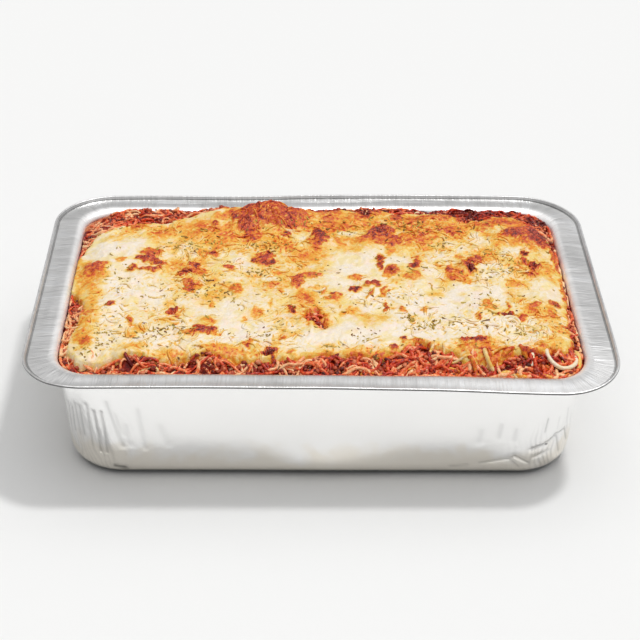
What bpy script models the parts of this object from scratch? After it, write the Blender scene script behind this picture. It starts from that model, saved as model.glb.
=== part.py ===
"""Family-size foil tray of baked spaghetti under a blanket of melted cheese.

Frame: +X along the tray's long side, +Y towards its back, +Z up. The origin is the
centre of the tray's underside, on the surface that the tray stands on. Metres.
"""

import math

import bmesh
import bpy

# Tray: the outside of the rolled rim and the overall height of the foil.
RIM_LENGTH = 0.325
RIM_WIDTH = 0.222
TRAY_HEIGHT = 0.073
FOIL = 0.0006
RIM_CORNER = 0.036

# Rolled bead round the edge of the flange, and the groove inside it.
BEAD_RADIUS = 0.0016
BEAD_STEPS = 8
GROOVE_INSET = 0.0042
GROOVE_DEPTH = 0.0008

# Flange, the rounded shoulder inside it, the wall and the fillet at the floor.
FLANGE_INSET = 0.014
SHOULDER_RADIUS = 0.0048
SHOULDER_STEPS = 3
WALL_DRAFT = math.radians(2.5)
WALL_TOP_CORNER = 0.021
WALL_BOTTOM_CORNER = 0.031
FLOOR_FILLET = 0.010
FILLET_STEPS = 4
CORNER_STEPS = 8

# Food. CLEARANCE keeps touching solids apart. Levels are heights above the flange.
CLEARANCE = 0.0004
FOOD_COLUMNS = 36
FOOD_ROWS = 24
PASTA_EDGE_LEVEL = -0.0055
PASTA_CROWN_LEVEL = 0.0010
PASTA_EDGE_FALL = 0.018
CHEESE_THICKNESS = 0.0036
CHEESE_EDGE_THICKNESS = 0.0018
CHEESE_BARE_SIDES = 1
CHEESE_BARE_FRONT = 2
CHEESE_BARE_BACK = 1
CHEESE_WAVE = 0.0024
CHEESE_WAVES = ((7, 0.4), (13, 1.9), (22, 0.7))

# Mounds and hollows of the surface: x, y, radius along x and y, height.
MOUNDS = (
    (-0.030, 0.074, 0.023, 0.014, 0.0105),
    (-0.068, 0.074, 0.016, 0.010, 0.0020),
    (0.003, 0.046, 0.009, 0.008, 0.0030),
    (0.042, 0.050, 0.022, 0.011, 0.0024),
    (0.124, 0.056, 0.016, 0.012, 0.0022),
    (-0.107, -0.082, 0.011, 0.008, 0.0058),
    (-0.064, -0.083, 0.010, 0.007, 0.0044),
    (-0.015, -0.083, 0.022, 0.007, 0.0024),
    (0.052, -0.075, 0.011, 0.008, 0.0034),
    (0.110, -0.082, 0.020, 0.007, 0.0018),
    (-0.003, -0.046, 0.010, 0.009, 0.0018),
    (-0.068, -0.062, 0.010, 0.007, 0.0020),
    (0.092, 0.090, 0.038, 0.013, -0.0045),
)
# Long low waves in the pasta: amplitude, waves per metre along x and y, phase.
WAVES = ((0.0006, 95.0, 60.0, 0.8), (0.0005, -52.0, 118.0, 2.1))


def rim_level():
    """Height of the flange's upper face."""
    return TRAY_HEIGHT - GROOVE_DEPTH


def wall_inset(height):
    """How far the inner wall's face stands inside the rim's outer edge at a height."""
    shoulder_base = rim_level() - SHOULDER_RADIUS
    return FLANGE_INSET + SHOULDER_RADIUS + (shoulder_base - height) * math.tan(WALL_DRAFT)


def wall_corner(height):
    """Plan radius of the inner wall's corners at a height: wider towards the floor."""
    low, high = FLOOR_FILLET, rim_level() - SHOULDER_RADIUS
    share = min(1.0, max(0.0, (height - low) / (high - low)))
    return WALL_BOTTOM_CORNER + (WALL_TOP_CORNER - WALL_BOTTOM_CORNER) * share


def bowl_stations(gap):
    """(inset, height, corner radius) up the fillet and the wall, set in by gap."""
    radius = FLOOR_FILLET - gap
    middle_height = FOIL + FLOOR_FILLET
    middle_inset = wall_inset(middle_height) + FLOOR_FILLET
    stations = []
    for step in range(FILLET_STEPS + 1):
        angle = (math.pi / 2 - WALL_DRAFT) * step / FILLET_STEPS
        inset = middle_inset - radius * math.sin(angle)
        height = middle_height - radius * math.cos(angle)
        corner = WALL_BOTTOM_CORNER - FLOOR_FILLET + radius * math.sin(angle)
        stations.append((inset, height, corner))
    return stations


def rim_stations():
    """(inset, height, corner radius) over the shoulder, the flange and the bead."""
    flange_corner = RIM_CORNER - FLANGE_INSET
    shoulder_middle = rim_level() - SHOULDER_RADIUS
    stations = []
    for step in range(SHOULDER_STEPS + 1):
        angle = math.pi / 2 * step / SHOULDER_STEPS
        inset = FLANGE_INSET + SHOULDER_RADIUS * math.cos(angle)
        height = shoulder_middle + SHOULDER_RADIUS * math.sin(angle)
        corner = WALL_TOP_CORNER + (flange_corner - WALL_TOP_CORNER) * step / SHOULDER_STEPS
        stations.append((inset, height, corner))
    stations.append((GROOVE_INSET, rim_level(), RIM_CORNER - GROOVE_INSET))
    first, last = math.radians(120), math.radians(-180)
    for step in range(BEAD_STEPS + 1):
        angle = first + (last - first) * step / BEAD_STEPS
        inset = BEAD_RADIUS * (1 - math.cos(angle))
        height = TRAY_HEIGHT - BEAD_RADIUS * (1 - math.sin(angle))
        stations.append((inset, height, RIM_CORNER - inset))
    return stations


def outline(inset, corner):
    """Points round a rounded rectangle that stands inset from the rim's outer edge."""
    centre_x = RIM_LENGTH / 2 - inset - corner
    centre_y = RIM_WIDTH / 2 - inset - corner
    points = []
    for quarter, (side_x, side_y) in enumerate(((1, 1), (-1, 1), (-1, -1), (1, -1))):
        for step in range(CORNER_STEPS + 1):
            angle = math.pi / 2 * (quarter + step / CORNER_STEPS)
            points.append((
                side_x * centre_x + corner * math.cos(angle),
                side_y * centre_y + corner * math.sin(angle),
            ))
    return points


def rounded(u, v, half_length, half_width, corner):
    """Maps the square -1..1 onto a rounded rectangle, its corner squares onto quarter discs."""
    x, y = u * half_length, v * half_width
    across = (abs(x) - half_length + corner) / corner
    along = (abs(y) - half_width + corner) / corner
    if across <= 0 or along <= 0:
        return x, y
    reach = max(across, along)
    turn = math.pi / 4 * min(across, along) / reach
    if along > across:
        turn = math.pi / 2 - turn
    round_x = half_length - corner + corner * reach * math.cos(turn)
    round_y = half_width - corner + corner * reach * math.sin(turn)
    return math.copysign(round_x, x), math.copysign(round_y, y)


def smooth(low, high, value):
    """Smooth step from 0 at low to 1 at high."""
    share = min(1.0, max(0.0, (value - low) / (high - low)))
    return share * share * (3 - 2 * share)


def depth_inside_wall(x, y):
    """Distance of a point from the inner wall, positive inside the tray."""
    inset = FLANGE_INSET + SHOULDER_RADIUS
    over_x = abs(x) - (RIM_LENGTH / 2 - inset - WALL_TOP_CORNER)
    over_y = abs(y) - (RIM_WIDTH / 2 - inset - WALL_TOP_CORNER)
    outside = math.hypot(max(over_x, 0.0), max(over_y, 0.0))
    return WALL_TOP_CORNER - outside - min(max(over_x, over_y), 0.0)


def pasta_height(x, y):
    """Upper face of the spaghetti: low at the wall, crowned inside, with the mounds on it."""
    crown = smooth(0.0, PASTA_EDGE_FALL, depth_inside_wall(x, y))
    height = rim_level() + PASTA_EDGE_LEVEL + (PASTA_CROWN_LEVEL - PASTA_EDGE_LEVEL) * crown
    for centre_x, centre_y, radius_x, radius_y, rise in MOUNDS:
        reach = ((x - centre_x) / radius_x) ** 2 + ((y - centre_y) / radius_y) ** 2
        height += rise * math.exp(-reach)
    for amplitude, along_x, along_y, phase in WAVES:
        height += amplitude * crown * math.sin(along_x * x + along_y * y + phase)
    return height


def food_point(u, v, height):
    """Where a point of the square -1..1 lies across the food at a height up the wall."""
    inset = wall_inset(height) + CLEARANCE
    half_length, half_width = RIM_LENGTH / 2 - inset, RIM_WIDTH / 2 - inset
    return rounded(u, v, half_length, half_width, wall_corner(height) - CLEARANCE)


def ruffled(u, v):
    """Pulls the grid's inner rings in and out, so that the cheese's edge is uneven."""
    edge = max(abs(u), abs(v))
    angle = math.atan2(v, u)
    wave = sum(math.sin(count * angle + phase) for count, phase in CHEESE_WAVES)
    pull = CHEESE_WAVE * wave / len(CHEESE_WAVES) * smooth(0.6, 0.85, edge)
    pull *= smooth(1.0, 0.9, edge)
    return pull * math.cos(angle), pull * math.sin(angle)


def finish(name, mesh_builder, collection, material):
    """Makes an object from a bmesh and puts it in the collection."""
    mesh = bpy.data.meshes.new(name)
    mesh_builder.to_mesh(mesh)
    mesh_builder.free()
    mesh.materials.append(material)
    mesh.shade_smooth()
    mesh.set_sharp_from_angle(angle=math.radians(40))
    obj = bpy.data.objects.new(name, mesh)
    collection.objects.link(obj)
    return obj


def material(name, colour, roughness, metallic=0.0):
    made = bpy.data.materials.new(name)
    made.use_nodes = True
    shader = made.node_tree.nodes["Principled BSDF"]
    shader.inputs["Base Color"].default_value = (*colour, 1.0)
    shader.inputs["Roughness"].default_value = roughness
    shader.inputs["Metallic"].default_value = metallic
    return made


def border_loop(builder):
    """The open edge of a sheet."""
    return [edge for edge in builder.edges if edge.is_boundary]


def extrude_border(builder, edges):
    """Extrudes an open edge in place. Returns the new edges, and each old vertex's new one."""
    old = {vertex for edge in edges for vertex in edge.verts}
    made = bmesh.ops.extrude_edge_only(builder, edges=edges)["geom"]
    new_edges = [item for item in made if isinstance(item, bmesh.types.BMEdge)]
    new_edges = [edge for edge in new_edges if edge.is_boundary]
    twins = {}
    for vertex in {v for edge in new_edges for v in edge.verts}:
        for edge in vertex.link_edges:
            other = edge.other_vert(vertex)
            if other in old:
                twins[other] = vertex
    return new_edges, twins


def build_tray(collection, foil):
    """One sheet of foil: floor, fillet, wall, shoulder, flange and rolled bead."""
    builder = bmesh.new()
    stations = bowl_stations(0.0) + rim_stations()
    points = outline(stations[0][0], stations[0][2])
    floor = bmesh.ops.create_circle(builder, cap_ends=True, segments=len(points), radius=0.1)
    ring = list(floor["verts"])
    for vertex, (x, y) in zip(ring, points):
        vertex.co = (x, y, stations[0][1])
    for inset, height, corner in stations[1:]:
        _, twins = extrude_border(builder, border_loop(builder))
        ring = [twins[vertex] for vertex in ring]
        for vertex, (x, y) in zip(ring, outline(inset, corner)):
            vertex.co = (x, y, height)
    bmesh.ops.recalc_face_normals(builder, faces=builder.faces)
    floor_face = min(builder.faces, key=lambda face: face.calc_center_median().z)
    if floor_face.normal.z < 0:
        bmesh.ops.reverse_faces(builder, faces=builder.faces)
    tray = finish("foil_tray", builder, collection, foil)
    wall = tray.modifiers.new("foil thickness", "SOLIDIFY")
    wall.thickness = FOIL
    wall.offset = -1.0
    wall.use_even_offset = True
    return tray


def food_sheet(builder):
    """The food's upper face as a grid. Returns each vertex's place in the square."""
    bmesh.ops.create_grid(builder, x_segments=FOOD_COLUMNS, y_segments=FOOD_ROWS, size=1.0)
    square = {vertex: (vertex.co.x, vertex.co.y) for vertex in builder.verts}
    for vertex, (u, v) in square.items():
        x, y = food_point(u, v, rim_level() + PASTA_EDGE_LEVEL)
        pull_x, pull_y = ruffled(u, v)
        x, y = x + pull_x, y + pull_y
        vertex.co = (x, y, pasta_height(x, y))
    return square


def build_pasta(collection, sauce):
    """The heap of spaghetti and sauce: solid from the tray's floor to its uneven top."""
    builder = bmesh.new()
    square = food_sheet(builder)
    for inset, height, corner in reversed(bowl_stations(CLEARANCE)):
        _, twins = extrude_border(builder, border_loop(builder))
        half_length, half_width = RIM_LENGTH / 2 - inset, RIM_WIDTH / 2 - inset
        for old, new in twins.items():
            square[new] = square[old]
            x, y = rounded(*square[new], half_length, half_width, corner)
            new.co = (x, y, height)
    bmesh.ops.contextual_create(builder, geom=border_loop(builder))
    bmesh.ops.recalc_face_normals(builder, faces=builder.faces)
    return finish("baked_spaghetti", builder, collection, sauce)


def build_cheese(collection, cheese):
    """The melted cheese: a blanket that follows the pasta and thins out at its edge."""
    builder = bmesh.new()
    square = food_sheet(builder)
    side = 1 - 2 * (CHEESE_BARE_SIDES - 0.5) / FOOD_COLUMNS
    front = 2 * (CHEESE_BARE_FRONT - 0.5) / FOOD_ROWS - 1
    back = 1 - 2 * (CHEESE_BARE_BACK - 0.5) / FOOD_ROWS
    bare = [vertex for vertex, (u, v) in square.items() if abs(u) > side or not front < v < back]
    bmesh.ops.delete(builder, geom=bare, context="VERTS")
    bmesh.ops.translate(builder, verts=builder.verts, vec=(0.0, 0.0, CLEARANCE))
    border = [vertex for vertex in builder.verts if vertex.is_boundary]
    sheet = list(builder.faces)
    made = bmesh.ops.extrude_face_region(builder, geom=sheet, use_keep_orig=True)["geom"]
    lifted = {item for item in made if isinstance(item, bmesh.types.BMVert)}
    thin = {edge.other_vert(vertex) for vertex in border for edge in vertex.link_edges}
    for vertex in lifted:
        vertex.co.z += CHEESE_EDGE_THICKNESS if vertex in thin else CHEESE_THICKNESS
    bmesh.ops.recalc_face_normals(builder, faces=builder.faces)
    return finish("melted_cheese", builder, collection, cheese)


def main():
    for obj in list(bpy.data.objects):
        bpy.data.objects.remove(obj)
    collection = bpy.data.collections.new("foil_tray_meal")
    bpy.context.scene.collection.children.link(collection)
    foil = material("bright foil", (0.82, 0.82, 0.82), 0.28, metallic=1.0)
    sauce = material("tomato sauce", (0.55, 0.10, 0.03), 0.40)
    cheese = material("melted cheese", (0.93, 0.76, 0.45), 0.38)
    build_tray(collection, foil)
    build_pasta(collection, sauce)
    build_cheese(collection, cheese)


main()
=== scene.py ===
"""Foil tray meal: the looks of a deep foil tray of baked spaghetti under melted cheese.

The frame is the tray's: +X along its long side, +Y towards its back, +Z up, and the origin
at the centre of its underside. Shapes of the food are worked out in millimetres, since its
tables are easier to read that way, and are turned into metres when a mesh is made.
"""
import math
from functools import lru_cache

import bmesh
import bpy
import numpy as np
from bpy.props import FloatProperty, FloatVectorProperty, IntProperty, PointerProperty
from bpy.types import Operator, Panel, PropertyGroup
from mathutils import Matrix, Vector


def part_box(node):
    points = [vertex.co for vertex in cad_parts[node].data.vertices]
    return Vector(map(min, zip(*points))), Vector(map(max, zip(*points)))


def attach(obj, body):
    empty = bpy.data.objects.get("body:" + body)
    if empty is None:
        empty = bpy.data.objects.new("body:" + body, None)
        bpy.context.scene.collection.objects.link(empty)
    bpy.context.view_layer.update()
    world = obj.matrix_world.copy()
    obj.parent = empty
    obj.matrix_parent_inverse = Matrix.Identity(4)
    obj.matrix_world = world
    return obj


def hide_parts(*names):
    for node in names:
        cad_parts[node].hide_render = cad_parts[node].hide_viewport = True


bl_info = {
    "name": "Foil Tray Meal",
    "version": (1, 0, 0),
    "blender": (4, 5, 0),
    "location": "3D Viewport > Sidebar > Tray Meal",
    "description": "Makes a foil tray of baked spaghetti with melted cheese, and its stage",
    "category": "Object",
}

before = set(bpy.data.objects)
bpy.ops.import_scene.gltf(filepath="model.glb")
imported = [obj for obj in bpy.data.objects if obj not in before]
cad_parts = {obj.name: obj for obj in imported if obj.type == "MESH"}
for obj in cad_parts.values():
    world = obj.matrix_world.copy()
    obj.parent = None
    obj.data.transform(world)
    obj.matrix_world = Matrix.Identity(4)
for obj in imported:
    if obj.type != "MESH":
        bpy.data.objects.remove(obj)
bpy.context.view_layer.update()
TRAY_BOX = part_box("foil_tray")
MM = 0.001
HALF_LENGTH = TRAY_BOX[1].x / MM
HALF_WIDTH = TRAY_BOX[1].y / MM
RIM_TOP = TRAY_BOX[1].z / MM

# The tray's section, in millimetres: insets are from the rim's outer edge.
BEAD_RADIUS = 0.75
GROOVE_DEPTH = 0.8
FLANGE_INSET = 14.0
SHOULDER_RADIUS = 4.8
WALL_INSET = FLANGE_INSET + SHOULDER_RADIUS
WALL_SLOPE = math.tan(math.radians(2.5))
FLOOR_FILLET = 10.0
RIM_CORNER = 36.0
WALL_TOP_CORNER = 21.0
WALL_BOTTOM_CORNER = 31.0
FLANGE_LEVEL = RIM_TOP - GROOVE_DEPTH
FLOOR_LEVEL = 0.6
# The wall's corners widen from just under the shoulder to the top of the fillet.
CORNER_RUN = FLANGE_LEVEL - 15
FILLET_STEPS = 10
WALL_STEPS = 58
SHOULDER_STEPS = 7
BEAD_STEPS = 16
# Level of the food where it meets the wall.
FOOD_EDGE = FLANGE_LEVEL - 5.5

# The flange from its inner edge out: inset, and drop below its level.
FLANGE_SECTION = (
    (13.0, 0.00), (12.0, 0.03), (11.0, 0.09), (10.0, 0.17), (9.2, 0.25), (8.2, 0.35), (7.0, 0.49),
    (5.8, 0.61), (4.6, 0.72), (3.4, 0.82), (2.9, 0.89), (2.5, 1.01), (2.2, 1.08), (1.9, 0.90),
)

# Foil: points along each corner and each side, from the right-hand corner at the back on round
# (the front and its corners are finer), and how its pleats lie.
CORNER_STEPS = (22, 22, 58, 58)
SIDE_STEPS = (36, 20, 170, 20)
PLEAT_PITCH = 3.6
PLEAT_REACH = 24.0

# Creases of the front wall and its corners: run from the middle of the front and z at one end,
# the same at the other end, width, depth.
WALL_CREASES = (
    (-143.0, 44.0, -143.5, 22.0, 1.1, 0.42), (-139.2, 43.0, -139.6, 25.0, 1.1, 0.50),
    (-136.0, 47.0, -135.2, 24.0, 0.9, 0.40), (-132.5, 46.0, -131.6, 26.0, 1.1, 0.52),
    (-128.0, 49.0, -126.5, 20.0, 1.0, 0.40), (-123.9, 45.0, -121.6, 17.0, 1.1, 0.60),
    (-119.7, 45.0, -117.8, 17.0, 1.1, 0.58), (-121.8, 32.0, -119.8, 14.0, 0.9, 0.34),
    (-116.7, 52.0, -109.0, 22.0, 1.4, 0.38), (-112.5, 44.0, -108.0, 30.0, 1.2, 0.22),
    (-106.7, 36.0, -104.9, 23.0, 1.6, 0.24), (-99.8, 47.0, -96.7, 21.0, 1.8, 0.22),
    (-88.0, 36.0, -84.0, 24.0, 2.6, 0.14), (-114.0, 7.6, -108.5, 6.4, 1.7, 1.10),
    (124.2, 41.0, 123.2, 31.5, 0.8, 0.55), (116.5, 20.3, 125.2, 23.1, 1.0, 0.85),
    (125.2, 23.1, 130.4, 27.5, 1.0, 0.85), (130.4, 27.5, 137.8, 28.5, 1.0, 0.70),
    (137.8, 28.5, 144.1, 16.6, 1.3, 0.70), (131.0, 27.0, 136.5, 12.0, 1.3, 0.60),
    (107.2, 16.3, 116.1, 10.6, 1.0, 0.60), (88.5, 10.9, 106.2, 14.8, 1.1, 0.45),
    (72.0, 8.6, 81.5, 9.6, 1.2, 0.35), (106.0, 12.6, 110.2, 8.7, 1.0, 0.45),
    (118.0, 14.5, 127.0, 17.5, 1.1, 0.45), (107.1, 34.0, 106.4, 27.0, 1.6, 0.26),
    (98.7, 37.0, 97.9, 29.0, 1.8, 0.26), (88.0, 33.0, 87.0, 26.0, 2.2, 0.18),
    (137.5, 44.0, 138.5, 33.0, 0.9, 0.30), (131.5, 40.0, 131.0, 32.0, 0.8, 0.22),
)
# Broad bulges of the front wall: x, z, half width along x and z, height.
WALL_BULGES = (
    (2.0, 5.0, 40.0, 14.0, 2.0), (-70.0, 30.0, 18.0, 12.0, 0.25), (60.0, 34.0, 22.0, 12.0, 0.22),
    (-30.0, 24.0, 14.0, 10.0, 0.15), (108.0, 12.0, 14.0, 10.0, 0.5),
    (-100.0, 20.0, 12.0, 12.0, 0.2),
)
# Parts of the rim that stand high or low: x, y, reach along x and y, lift.
RIM_LIFTS = (
    (60.0, 111.0, 85.0, 26.0, 1.7), (-90.0, 111.0, 30.0, 20.0, 0.3),
    (-80.0, -111.0, 120.0, 26.0, 0.8), (-55.0, -113.5, 140.0, 9.0, 1.2),
    (150.0, -106.0, 60.0, 36.0, -1.6),
)
# Dents of the flange: x, y, half width along x and y, depth.
RIM_DENTS = (
    (-154.5, -3.0, 3.6, 3.4, 0.7),
    (-153.5, -29.0, 2.4, 1.6, -0.5),
    (151.5, -4.0, 3.4, 2.2, 0.5),
    (152.5, -46.0, 3.4, 2.0, 0.5),
    (-88.0, 104.0, 16.0, 2.2, 0.5),
    (10.0, 105.0, 22.0, 2.6, 0.6),
    (62.0, 104.0, 18.0, 2.4, -0.4),
)

# Outline of the melted cheese over the spaghetti, anticlockwise from the front left.
CHEESE_OUTLINE = (
    (-132, -83), (-124, -87), (-116.5, -86.5), (-112, -84), (-104, -82), (-96, -82.5),
    (-88, -83), (-78, -83.5), (-70, -81.5), (-63, -79.5), (-57, -81), (-46, -82.5), (-38, -83),
    (-30, -82.5), (-20, -82), (-10, -81), (0, -80), (10, -79.5), (20, -79), (30, -80),
    (40, -77.5), (46, -74), (51, -69.5), (57, -70.5), (63, -73.5), (70, -77), (78, -82.5),
    (88, -86), (95, -82), (104, -80.5), (112, -77.5), (119, -76), (124, -79.5), (131, -79),
    (135, -73),
    (138, -62), (139.2, -45), (139.7, -28), (141.7, -12), (141.7, 20), (141.2, 45), (135, 58),
    (128, 67), (120, 75), (108, 78), (98, 72), (90, 73), (84, 80), (70, 81.5), (50, 82.5),
    (25, 84), (5, 85), (-8, 87), (-30, 89), (-52, 87), (-62, 78), (-72, 77), (-84, 73),
    (-96, 67), (-110, 69), (-120, 65), (-127, 60), (-134, 55), (-138.5, 45), (-141.5, 30),
    (-146, 18), (-147.5, -6), (-139, -15), (-134, -27), (-135.5, -44), (-139, -58),
    (-139, -73),
)

# Mounds and hollows of the spaghetti: x, y, radius along x and y, height.
MOUNDS = (
    (-30, 74, 22, 13, 10.0), (-68, 74, 16, 10, 2.0), (1, 47, 7, 9, 2.6),
    (42, 50, 20, 10, 2.0), (124, 55, 15, 11, 2.0), (-106, -84, 9, 7, 5.2),
    (-89, -87, 5, 5, 3.6), (-64, -84, 8, 6, 5.2), (-36, -86, 7, 5, 3.0), (-2, -86, 8, 6, 3.6),
    (16, -85, 6, 5, 2.6), (52, -75, 9, 8, 2.6), (84, -74, 11, 8, 2.6), (110, -82, 14, 7, 1.6),
    (-4, -44, 9, 10, 1.4), (-66, -61, 7, 6, 2.2), (92, 91, 40, 9, 3.0), (-60, 87, 11, 8, 4.4),
    (-141, 80, 14, 12, -7.0), (24, 91, 30, 8, 4.2), (-100, 91, 28, 8, 3.0), (-100, 25, 9, 10, 1.2),
    (-132, 12, 9, 10, 1.4), (30, -46, 9, 8, 1.0), (-34, 22, 9, 9, 1.0), (90, 18, 8, 9, 1.2),
    (56, 8, 7, 9, 0.8), (-75, 8, 8, 10, 1.0), (29, -9, 7, 6, 1.0), (125, -83, 7, 6, -2.0),
    (20, 74, 14, 8, 1.2), (66, 64, 14, 8, 1.2),
)

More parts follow.
